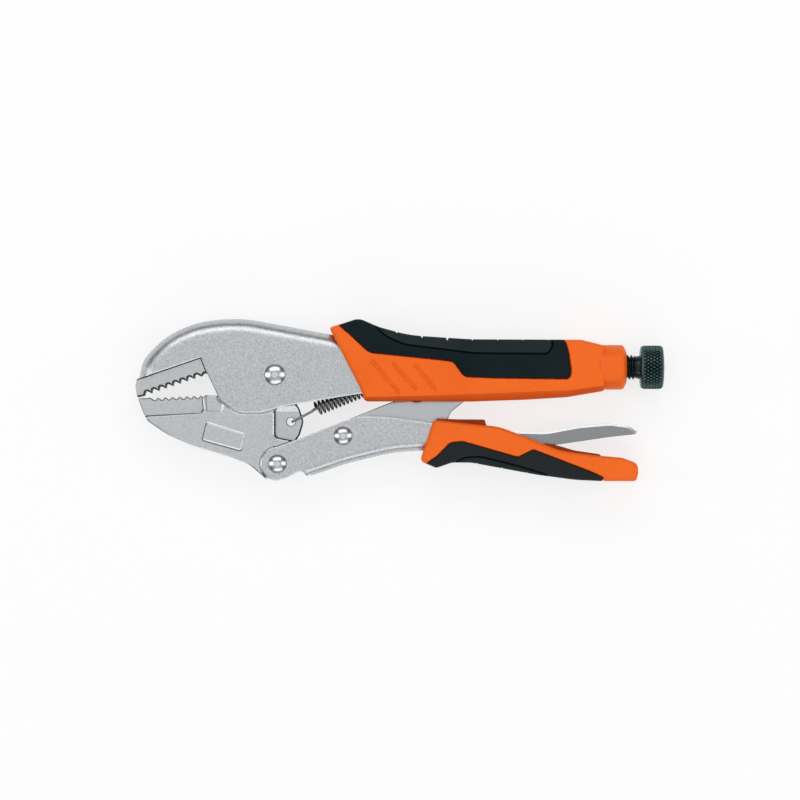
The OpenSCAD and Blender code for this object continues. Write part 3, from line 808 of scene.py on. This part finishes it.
# The wide body round the plate.
BODY = [[-122.6, -8, 1], [-120.3, -10.6, 4], [-110.7, -17.1, 30], [-99, -22.1, 50], [-81.8, -27.2, 60],
        [-72.2, -31, 14], [-64.2, -37.9], [-60, -37], [-50.1, -24], [-50.3, -20.2, 0.6], [-59.0, -18.5, 1.2],
        [-60.4, -16.7, 1.2], [-60.4, -5.7, 0.6], [-66.3, -6.75, 12], [-76.7, -6.8, 9], [-82.1, -4.3, 5],
        [-86.8, -0.5, 3], [-88, 1.9], [-93.8, 2.3, 0.3], [-94.6, 0.6], [-94.1, -4.2, 1], [-95.4, -6.4, 1.8]]
# The thin lug that the spring hooks into.
LUG = [[-61, -25], [-51.8, -22, 3], [-48.2, -16.9, 4], [-46.2, -10.5, 6], [-48.3, -4.2, 5], [-52, 1.5, 4],
       [-51.9, 12], [-61, 12]]
SEAM = [[-124, -8.15], [-96.0, -6.75, 0], [-95.3, -6.6, 1.6], [-94.0, -4.2, 1], [-94.5, 0.6]]
WINDOW = [[-60.3, -4], [-60.3, -17.0, 1.2], [-58.8, -18.6, 1.2], [-49, -20.5]]
POCKET = [[-93.4, 5, 0], [-92.6, -5.4, 0.8], [-84.6, -5.4, 0.8], [-84.3, 5, 0]]
STAMP = [[-92.4, -10.9, 0.7], [-74.4, -16.6, 0.7], [-76.3, -24.2, 0.7], [-94.6, -19.1, 0.7]]
LEVER_ROOM = [[-59.1, -22.0], [-58, -36], [-40, -36], [-26.8, -9.4]]
BODY_HALF, LUG_HALF = 7.2, 3.0  # half the widths across the tool
BODY_EDGE, LUG_EDGE = 0.6, 0.7  # widths of the chamfers
SEAM_HALF, WINDOW_HALF = 0.55, 0.6  # half the widths of the grooves between the blocks
MAIN_EYE, MAIN_BORE = 8.2, 3.65  # radii round the main rivet
LEVER_EYE, LEVER_BORE = 7.7, 3.25  # radii round the lever's rivet
plate_line = ccw(outline(PLATE, 0.5))
body_line = ccw(outline(BODY, 0.6))
lug_line = ccw(outline(LUG, 0.6))
seam_line = outline(SEAM, 0.4, False)
window_line = outline(WINDOW, 0.4, False)
pocket_line = outline(POCKET, 0.5)
pocket_wall = outline([[-92.9, 1.9], [-92.5, -4.9]], 0.5, False)
stamp_line = outline(STAMP, 0.5)


def plate_height(p):
    return TANG - chamfer(dist(p, plate_line), 0.45, 1) - 1.8 * groove(dist(p, seam_line, False), SEAM_HALF)


def body_height(p):
    """The wide block, with the relief pocket at the mouth and the raised frame of the stamp."""
    h = BODY_HALF - chamfer(dist(p, body_line), BODY_EDGE, 0.62)
    d = dist(p, pocket_line)
    within = np.where(inside(p, pocket_line), d, -d)
    ramp = np.where(p[:, 0] > -86.5, np.clip(within / 0.95, 0, 1), 1)
    h -= 0.56 * np.minimum(smooth((within + 0.05) / 0.35), ramp)
    return h + 0.26 * np.clip(1 - (dist(p, stamp_line) - 0.1) / 0.5, 0, 1)


def lug_height(p):
    """The lug, which thickens towards the tang above it."""
    h = LUG_HALF - chamfer(dist(p, lug_line), LUG_EDGE, 1) + 0.58 * np.clip(p[:, 1] + 5.6, 0, 2.6)
    return h - 1.5 * groove(dist(p, window_line, False), WINDOW_HALF)


body_rows = np.concatenate([rows(pocket_line, (-0.3, -0.05, 0.1, 0.25, 0.5, 0.95), True),
                            rows(stamp_line, (-0.6, -0.35, -0.1, 0.1, 0.35, 0.6), True)])
lug_rows = np.concatenate([rows(window_line, (-0.6, -0.4, -0.2, 0, 0.2, 0.4, 0.6)),
                           [[x, y] for x in np.arange(-59.5, -48.5, 0.7) for y in (-5.6, -3.0)]])
jaw = slab("Lower_Jaw", body_line, body_height, rings=((BODY_EDGE, 3), (2.0, 2)), grid=2.4, extra=body_rows)
boolean(jaw, block(circle(LEVER_PIVOT, LEVER_EYE + 1, 144)))
boolean(jaw, block(LEVER_ROOM))
plate = slab("plate", plate_line, plate_height, rings=((0.5, 4),), grid=2.4,
             extra=rows(seam_line, (-0.55, -0.4, -0.2, 0, 0.2, 0.4, 0.55)))
lug = slab("lug", lug_line, lug_height, rings=((0.72, 4),), grid=2.4, extra=lug_rows)
eyes = [block(circle(c, r, 96), TANG) for c, r in ((MAIN_PIVOT, MAIN_EYE), (LEVER_PIVOT, LEVER_EYE))]
for part in [plate, lug] + eyes:
    boolean(jaw, part, "UNION")
for centre, radius in ((MAIN_PIVOT, MAIN_BORE), (LEVER_PIVOT, LEVER_BORE)):
    boolean(jaw, block(circle(centre, radius)))
hole = lathe("hole", [[POLE, 0], [2.35, 0], [2.35, MID - 3.0], [2.0, MID - 2.65], [2.0, MID + 2.65],
                      [2.35, MID + 3.0], [2.35, 23], [POLE, 23]], 48)
move(hole, SPRING_HOLE)
boolean(jaw, hole)
finish_piece(jaw, [JAW, SEAM_SHADE, EDGE_SHADE], "jaw", "lower_jaw", 22)


def jaw_paint(c, m):
    """Painted shade: the seams get near-black steel; the lug's edge, the pocket's left wall and the stamp's
    outer slopes facing down or left get dark steel.
    """
    p = c[:, :2]
    steep = np.abs(m[:, 2]) < 0.9
    low = np.abs(c[:, 2] - MID) < 5.2
    seam = ((dist(p, seam_line, False) < 0.42) | (dist(p, window_line, False) < 0.45)) & low
    edge = (dist(p, lug_line) < 0.68) & steep & (p[:, 0] > -52) & low
    wall = (dist(p, pocket_wall, False) < 0.5) & steep
    rim = (dist(p, stamp_line) < 0.6) & ~inside(p, stamp_line) & (np.abs(m[:, 2]) > 0.7)
    rim &= (m[:, 1] < -0.2) | (m[:, 0] < -0.3)
    return np.where(seam, 1, np.where(edge | wall | rim, 2, 0))


paint(jaw, jaw_paint)

# -------- return spring

WIRE, COIL_RADIUS = 0.6, 3.02
COIL_TURNS, COIL_STEPS = 17, 36
COIL_START, COIL_MARGIN = 1.2, 6.8  # where the coil starts, and what both its ends leave free
JOIN = 7  # steps of the coil that a smooth lead replaces at each end
start = np.array([-41.4, -4.8])
axis = unit(SPRING_PIN - start)
side = np.array([-axis[1], axis[0]])
span = np.linalg.norm(SPRING_PIN - start)


def coil_point(x, y, z):
    """A point at x along the spring's axis, y beside it and z above it."""
    q = start + axis * x + side * y
    return [q[0], q[1], MID + z]


coil = []
for i in range(COIL_TURNS * COIL_STEPS + 1):
    a = 2 * math.pi * i / COIL_STEPS
    x = COIL_START + (span - COIL_MARGIN) * i / (COIL_TURNS * COIL_STEPS)
    coil.append(coil_point(x, COIL_RADIUS * math.sin(a), COIL_RADIUS * math.cos(a)))
LUG_HOOK = [[3.0, 1.3, -3.9], [1.9, 0.8, -4.2], [1.0, 0.3, -3.8], [0.7, 0.1, -2.6], [0.7, 0.1, 0],
            [0.7, 0.1, 2.6], [0.95, 0.22, 3.4], [1.7, 0.65, 3.75]]
PIN_HOOK = [[-4.6, 1.8, 2.2], [-3.6, -0.6, 2.4], [-2.4, -2, 1.6], [-0.4, -2.4, 1],
            [1.6, -1.7, 0.4], [2.5, 0, 0], [1.7, 1.7, -0.4], [0, 2.3, -0.8]]
lug_hook = [[SPRING_HOLE[0] + x, SPRING_HOLE[1] + y, MID + z] for x, y, z in LUG_HOOK]
lug_hook += [coil_point(-1.4, -0.35, 3.6), coil_point(0.2, 0.2, 3.0)]
pin_hook = [coil_point(span + x, y, z) for x, y, z in PIN_HOOK]
path = np.concatenate([spline(lug_hook + [coil[0], coil[JOIN - 1]])[:-1], np.array(coil[JOIN:-JOIN]),
                       spline([coil[-JOIN], coil[-1]] + pin_hook)[1:]])
spring = sweep("Return_Spring", path, WIRE, 12)
spring.data.materials.append(SPRING)
shade(spring, 60)
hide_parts("return_spring")
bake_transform(spring)

# -------- lever channel

EAR_RADIUS = 8.1
EAR = circle(LEVER_PIVOT, EAR_RADIUS)[18:55].tolist()  # the front half, every 5 degrees
# The sheet is folded along the lever's lower side.
FOLD = [[-40, -35.5], [-26.1, -30.6, 90], [-3, -25, 80], [12, -24.2, 80], [30, -24.6, 60],
        [50, -27.2, 90], [72, -32, 90], [108, -36.8]]
LEVER = (EAR + [[-53.7, -37.3, 6], [-49.2, -34.4, 2], [-46.3, -34.6, 1.4], [-44.4, -36.7, 1]] + FOLD
         + [[108, -29.4], [96, -28.9, 20], [67.2, -24, 20], [47.9, -17.7, 20], [33.5, -13.8, 20],
            [9.5, -10.2, 40], [-8, -7.9, 30], [-20, -7.9, 20], [-26.6, -9.9, 20]])
FOLD_RADIUS, FOLD_INSIDE = 5.0, 1.0
HOLLOW_FRONT = -42.8
lever_line = ccw(outline(LEVER, 0.7))
fold = outline([[-43.6, -36.6]] + FOLD, 0.7, False)
fold_inside = fold + normals(fold, False) * WALL
fold_inside = fold_inside[fold_inside[:, 0] > HOLLOW_FRONT]
hollow_line = np.concatenate([[[-75, -45], [HOLLOW_FRONT, -45]], fold_inside,
                              [[115, -34.5], [115, -15], [60, 0], [-75, 0]]])


def lever_height(p):
    bend = CHANNEL - rolled(dist(p, fold, False), FOLD_RADIUS)
    return np.minimum(bend, CHANNEL - chamfer(dist(p, lever_line), SHEET_EDGE, SHEET_SLOPE))


def hollow_height(p):
    return HOLLOW - rolled(dist(p, fold_inside, False), FOLD_INSIDE)


lever = slab("Lever_Channel", lever_line, lever_height, rings=((FOLD_RADIUS, 10), (SHEET_EDGE, 3)), grid=3.0)
boolean(lever, slab("hollow", hollow_line, hollow_height, rings=((FOLD_INSIDE, 4),), grid=8.0))
finish_piece(lever, [SHEET], "lever", "lever_frame", 29)
rivet("Lever_Rivet", LEVER_PIVOT, 3.2, 4.3, "lever", "lever_pivot_rivet")
rivet("Link_Rivet", LINK_PIVOT, 3.2, 4.3, "lever", "link_rivet")
release_pin = pin("Release_Pin", RELEASE_PIVOT, 1.8, 7.45, side=0.2, drop=0.25)
finish_piece(release_pin, [EDGE], "lever", "release_pin")

# -------- lever grip

LEVER_GRIP = [[9.6, -29.3, 2.1], [17.4, -32.6, 2.2], [24.9, -30, 8], [34, -30, 20], [66, -35.9, 60],
              [84, -38.3, 60], [96.9, -38.9, 20], [97.4, -37.6, 0.3], [98.0, -38.9, 0.3], [113.2, -38.9, 1.8],
              [114.2, -35, 4], [113.9, -30.4, 4.5], [107, -27.8, 8], [97, -26.9, 30], [76.8, -24.2, 30],
              [48, -12.9, 30], [24, -10.3, 60], [16, -9.6, 2.1]]
LEVER_PANEL = [[12, -50], [12, -30.8], [18, -26.6, 10], [24, -20.4, 4], [30, -19.8, 6], [56.5, -27.4, 3],
               [63.8, -23.7, 2.5], [91.2, -34.2, 60], [97.4, -37, 1.5], [97.4, -50]]
FINGER_PAD = [[71.3, -50], [71.3, -36.1, 2], [57.4, -31.8, 60], [38.3, -27.1, 14], [31.2, -27.6, 6],
              [26.3, -29.8], [24.6, -50]]
LEVER_GRIP_ROOM = [[-20, -25.2], [12, -24.25], [30, -24.65], [50, -27.25], [72, -32.05], [108.1, -36.9],
                   [108.1, -29.3], [96, -28.8], [67.2, -23.9], [47.9, -17.6], [33.5, -13.7], [9.5, -10.1],
                   [-20, -7.0]]
LEVER_WAY = [[0, -8], [0, -20], [30, -22], [97, -31.5], [97, -8]]
CUT_NOTCHES = [[36.9, -30.5], [48.9, -32.7], [60.6, -34.9]]
NOTCHES = np.array(CUT_NOTCHES + [[25.6, -30.1]])
ALONG, ACROSS = np.array([0.98, -0.17]), np.array([0.17, 0.98])  # directions along and across the pad
FINGER_NOTCH_HALF = 1.2
lever_grip_line = ccw(outline(LEVER_GRIP, 0.7))
lever_panel_line = ccw(outline(LEVER_PANEL, 0.6))
finger_pad_line = ccw(outline(FINGER_PAD, 0.6))


def lever_grip_height(p):
    h = moulded(dist(p, lever_grip_line), LEVER_CROWN, 0.45)
    h -= panel_depth(p, lever_panel_line, finger_pad_line)
    for notch in NOTCHES:
        away = p - notch
        vee = np.clip(1 - np.abs(away @ ALONG) / FINGER_NOTCH_HALF, 0, 1)
        h -= 0.8 * vee * (1 - smooth((away @ ACROSS - 1.2) / 1.4)) * inside(p, finger_pad_line)
    return np.clip(h, 0.3, MID)


def lever_grip_rows():
    e = panel_rows(lever_panel_line, finger_pad_line)
    for notch in NOTCHES:
        for d in (-1, -0.5, 0, 0.5, 1):
            foot = notch + d * FINGER_NOTCH_HALF * ALONG
            e.append(foot + np.outer(np.linspace(-2, 3, 14), ACROSS))
    return np.concatenate(e)


def lever_grip_body(name):
    o = slab(name, lever_grip_line, lever_grip_height, rings=((GRIP_EDGE, 6), (LEVER_CROWN, 3)), grid=2.2,
             extra=lever_grip_rows())
    make_room(o, LEVER_GRIP_ROOM, LEVER_WAY)
    return o


lever_grip = lever_grip_body("Lever_Grip_Cover")
boolean(lever_grip, block(lever_panel_line))
finish_piece(lever_grip, [ORANGE], "lever", "lever_grip", 35)

lever_panel = lever_grip_body("Lever_Grip_Inlay")
boolean(lever_panel, block(lever_panel_line), "INTERSECT")
boolean(lever_panel, block(finger_pad_line))
finish_piece(lever_panel, [LEVER_RUBBER], "lever", "lever_grip_inlay", 35)

finger_pad = lever_grip_body("Lever_Finger_Pad")
boolean(finger_pad, block(finger_pad_line), "INTERSECT")
for x, y in CUT_NOTCHES:
    vee = [[x + 0.35, y + 0.25], [x - 0.05, y + 0.32], [x - 0.8, y - 1.2], [x + 0.7, y - 1.5]]
    boolean(finger_pad, block(vee))
finish_piece(finger_pad, [RUBBER_PAD], "lever", "lever_finger_pad", 35)


def inner_moulding(name, corners, radius):
    """A low strip of the grip's plastic that shows above the channel, coloured dark orange as painted shade.
    """
    line = ccw(outline(corners, 0.5))
    o = slab(name, line, lambda p: CHANNEL - rolled(dist(p, line), radius), rings=((radius, 3),), grid=2.0)
    boolean(o, block(LEVER_WAY, HOLLOW + 0.2))
    finish_piece(o, [ORANGE_PAINTED_SHADE], "lever", "lever_grip", 35)


inner_moulding("Lever_Grip_Tab", [[17, -12], [41.5, -12.5], [40.6, -9.4, 0.5], [28, -9.3, 20],
                                  [17.4, -8.9, 0.6]], 0.4)
inner_moulding("Lever_Grip_Lip", [[70, -24], [96.5, -28.5], [96.2, -26.1, 1], [84, -24.3, 20], [76, -21.9, 6],
                                  [68, -20.4, 1]], 0.5)

# -------- link

LINK = [[-30, -22.4], [-22, -23, 3], [-6, -21.8, 8], [10, -18.6, 10], [21.8, -13.4, 3.5], [24, -6, 6],
        [31, -0.6, 8], [50.8, 11.3, 2], [53, 12.0, 1], [56.1, 15.5, 3], [52.6, 19.2, 2.4], [36, 13.4, 20],
        [12, 4, 20], [-4, -1, 14], [-24, -9, 10], [-29.5, -11.8]]
LINK_HALF, LINK_EDGE = 3.0, 0.45
EYE_RADIUS, EYE_EDGE = 5.8, 0.4
link_line = ccw(outline(LINK, 0.7))


def link_height(p):
    return LINK_HALF - rolled(dist(p, link_line), LINK_EDGE)


def eye_height(p):
    return TANG - rolled(EYE_RADIUS - np.linalg.norm(p - LINK_PIVOT, axis=1), EYE_EDGE)


# Painted shade: dark steel on the steep faces along the link's outline.
def link_paint(c, m):
    return ((dist(c[:, :2], link_line) < 0.3) & (np.abs(m[:, 2]) < 0.98)).astype(int)


link = slab("Link", link_line, link_height, rings=((LINK_EDGE, 4),), grid=3.0)
eye = slab("eye", circle(LINK_PIVOT, EYE_RADIUS, 96), eye_height, rings=((EYE_EDGE, 3),), grid=3.0)
boolean(link, eye, "UNION")
boolean(link, block(circle(LINK_PIVOT, 3.25, 64)))
finish_piece(link, [EDGE, EDGE_SHADE], "toggle_link", "link", 30)
paint(link, link_paint)

# -------- release lever

RELEASE_TOP = [[114, -16.2, 0.5], [113.9, -15.3, 0.8], [109.5, -12.3, 6], [100.8, -11.15, 14],
               [86, -12.4, 40], [70, -15.4, 30], [56, -15, 14], [43, -13.6, 10], [34, -14.4, 8],
               [19.6, -16.7, 0.8]]
RELEASE = [[19.6, -19, 1.2], [27, -20.9, 3], [36, -21.8, 5], [47, -22.6, 8], [71, -22, 30],
           [100.8, -17.7, 60], [110.4, -16.7, 3]] + RELEASE_TOP
RELEASE_HOLLOW = [[12, -21], [27, -30], [71, -24], [112, -21], [110.5, -16, 0.5], [100.8, -13.1, 12],
                  [86, -14.4, 40], [70, -17.4, 30], [56, -17, 14], [43, -15.7, 10], [34, -16.4, 8],
                  [12, -18.8]]
TOP_CHAMFER, RELEASE_EDGE = 1.1, 0.3
release_line = ccw(outline(RELEASE, 0.6))
release_top = outline(RELEASE_TOP, 0.6, False)


def release_height(p):
    chamfered = TANG - chamfer(dist(p, release_top, False), TOP_CHAMFER, 0.5)
    return np.minimum(chamfered, TANG - rolled(dist(p, release_line), RELEASE_EDGE))


# Painted highlight: the top chamfer gets the brighter jaw steel, while the rest keeps the darker steel of
# painted shade.
def release_highlight_paint(c, m):
    return ((dist(c[:, :2], release_top, False) < TOP_CHAMFER) & (np.abs(m[:, 2]) > 0.6)).astype(int)


release = slab("Release_Lever", release_line, release_height,
               rings=((TOP_CHAMFER, 4), (RELEASE_EDGE, 3)), grid=2.4)
boolean(release, block(outline(RELEASE_HOLLOW), 3.2))
boolean(release, block(circle(RELEASE_PIVOT, 1.85, 48)))
finish_piece(release, [RELEASE_SHADE_STEEL, JAW], "release", "release_lever", 22)
paint(release, release_highlight_paint)

# -------- adjusting screw


def around_screw(name, stations, angles):
    """A piece round the screw's axis, with a flat rear end: stations are (x, radius at each angle)."""
    verts = []
    for x, radii in stations:
        verts += [(x, SCREW_Y + r * math.cos(t), MID + r * math.sin(t)) for r, t in zip(radii, angles)]
    n = len(angles)
    rear = tuple(range(len(verts) - n, len(verts)))
    return mesh_object(name, verts, ring_faces(len(stations), n) + [rear])


TIP, THREAD_END = 59.6, 113.4
THREAD_START = TIP + 4.0
PITCH, CORE, CREST = 1.75, 4.9, 6.0
SCREW_STEPS = 96
screw_angles = np.linspace(0, 2 * math.pi, SCREW_STEPS, endpoint=False)


def thread_radii(x):
    """A rounded helical thread that runs out at both ends."""
    phase = (x / PITCH - screw_angles / (2 * math.pi)) % 1.0
    tooth = np.clip((1 - np.abs(2 * phase - 1) - 0.12) / 0.7, 0, 1)
    fade = max(min(1, (x - THREAD_START) / 1.0, (THREAD_END - x) / 1.2), 0)
    return CORE + (CREST - CORE) * tooth * fade + 0.3 * (1 - fade)


def plain(x, radius):
    return x, np.full(SCREW_STEPS, radius)


stations = [plain(TIP + x, r) for x, r in ((0, POLE), (0, 3.4), (0.25, 3.9), (0.8, 4.4), (3.2, 4.4))]
stations += [(x, thread_radii(x)) for x in np.arange(THREAD_START, THREAD_END, 0.125)]
stations += [plain(113.5, 5.2), plain(114.3, 5.55), plain(115.4, 5.55)]
screw = around_screw("Adjusting_Screw", stations, screw_angles)
finish_piece(screw, [THREAD], "screw", "adjusting_screw", 45)

# -------- knob with its diamond knurl

KNOB_STEPS = 624
KNOB_FRONT, KNOB_REAR, KNOB_RADIUS = 115.2, 127.0, 10.4
KNURL_TURNS, KNURL_PITCH, KNURL_DEPTH = 38, 2.9, 0.85
knob_angles = np.linspace(0, 2 * math.pi, KNOB_STEPS, endpoint=False)


def knob_profile():
    """(x, radius, share of the knurl's depth) from the front face to the rear face."""
    front, rear = KNOB_FRONT, KNOB_REAR
    out = [(front, POLE, 0), (front, 6.2, 0), (front + 0.05, 8.2, 0), (front + 0.25, 9.0, 0)]
    for k in range(1, 7):
        a = math.pi / 2 * k / 6
        out.append((front + 0.25 + 1.5 * (1 - math.cos(a)), 9.0 + 1.3 * math.sin(a), 0.25 * k / 6))
    for x in np.arange(front + 1.85, rear - 2.25, 0.14):
        out.append((x, KNOB_RADIUS - 0.012 * ((x - 120.6) / 3.0) ** 2, 1))
    for k in range(1, 9):
        a = math.pi / 2 * k / 8
        out.append((rear - 2.25 + 1.75 * math.sin(a), 10.35 - 2.0 * (1 - math.cos(a)), max(0, 1 - k / 5)))
    out += [(rear - 0.35, 7.2, 0), (rear - 0.18, 5.6, 0), (rear - 0.06, 3.4, 0), (rear, POLE, 0)]
    return out


def knurl(x):
    """Depth from 0 to 1 of two sets of crossing vee grooves."""
    u, v = KNURL_TURNS * knob_angles / (2 * math.pi), x / KNURL_PITCH
    sets = [np.abs(w % 1.0 - 0.5) * 2 for w in (u + v, u - v)]
    return np.clip((np.maximum(*sets) - 0.52) / 0.48, 0, 1)


stations = [(x, r + (0.05 - KNURL_DEPTH * knurl(x)) * share) for x, r, share in knob_profile()]
knob = around_screw("Screw_Knob", stations, knob_angles)
finish_piece(knob, [OXIDE], "screw", "adjusting_screw", 30)

# -------- floor

bpy.ops.mesh.primitive_plane_add(size=6, location=(0, 0, -0.0002))
ground = bpy.context.object
ground.name = "Floor"
white = Nodes("floor_white", Base_Color=(0.25, 0.25, 0.25, 1), Emission_Color=(1, 1, 1, 1),
              Emission_Strength=0.74, Roughness=0.9, Specular_IOR_Level=0.1)
ground.data.materials.append(white.mat)

# -------- camera

PICTURE_WIDTH = 384.48  # at the tool's mid-plane
LENS, SENSOR = 250, 36
bpy.context.scene.view_settings.view_transform = "Standard"
bpy.context.scene.view_settings.look = "None"
cam_data = bpy.data.cameras.new("Camera")
cam_data.lens = LENS
cam_data.sensor_width = SENSOR
cam_data.clip_end = 20
cam = bpy.data.objects.new("Camera", cam_data)
cam.location = (0.0, 0.0, (PICTURE_WIDTH * LENS / SENSOR + MID) * MM)
cam.rotation_euler = (0, 0, 0)
bpy.context.scene.collection.objects.link(cam)
bpy.context.scene.camera = cam

# -------- lights


def soft(name, at, size, power):
    """A soft box that shines on the tool. Its place and size are in metres."""
    d = bpy.data.lights.new(name, "AREA")
    d.shape = "RECTANGLE"
    d.size, d.size_y = size
    d.energy = power
    o = bpy.data.objects.new(name, d)
    bpy.context.scene.collection.objects.link(o)
    o.location = at
    o.rotation_euler = (Vector() - Vector(at)).to_track_quat("-Z", "Y").to_euler()


soft("Key", (-0.10, 0.98, 0.86), (1.7, 0.60), 6.4)
soft("Front", (0.1, -1.10, 0.66), (1.7, 0.60), 5.0)
soft("Left", (-1.15, 0.0, 0.66), (0.60, 1.0), 3.6)
soft("Right", (1.15, 0.05, 0.66), (0.60, 1.0), 3.6)

# The room is bright overhead and dark below, so that slopes on the steel show.
world = bpy.data.worlds.new("World")
bpy.context.scene.world = world
world.use_nodes = True
sky = world.node_tree
place = sky.nodes.new("ShaderNodeTexCoord")
height = sky.nodes.new("ShaderNodeSeparateXYZ")
sky.links.new(place.outputs["Generated"], height.inputs[0])
SKY = ((0.0, 0.06), (0.20, 0.08), (0.50, 0.20), (0.75, 0.50), (0.93, 0.95), (1.0, 1.0))
sky_colour = colour_ramp(sky, height.outputs["Z"], [(z, (v, v, v)) for z, v in SKY])
sky.links.new(sky_colour, sky.nodes["Background"].inputs["Color"])
sky.nodes["Background"].inputs["Strength"].default_value = 0.95
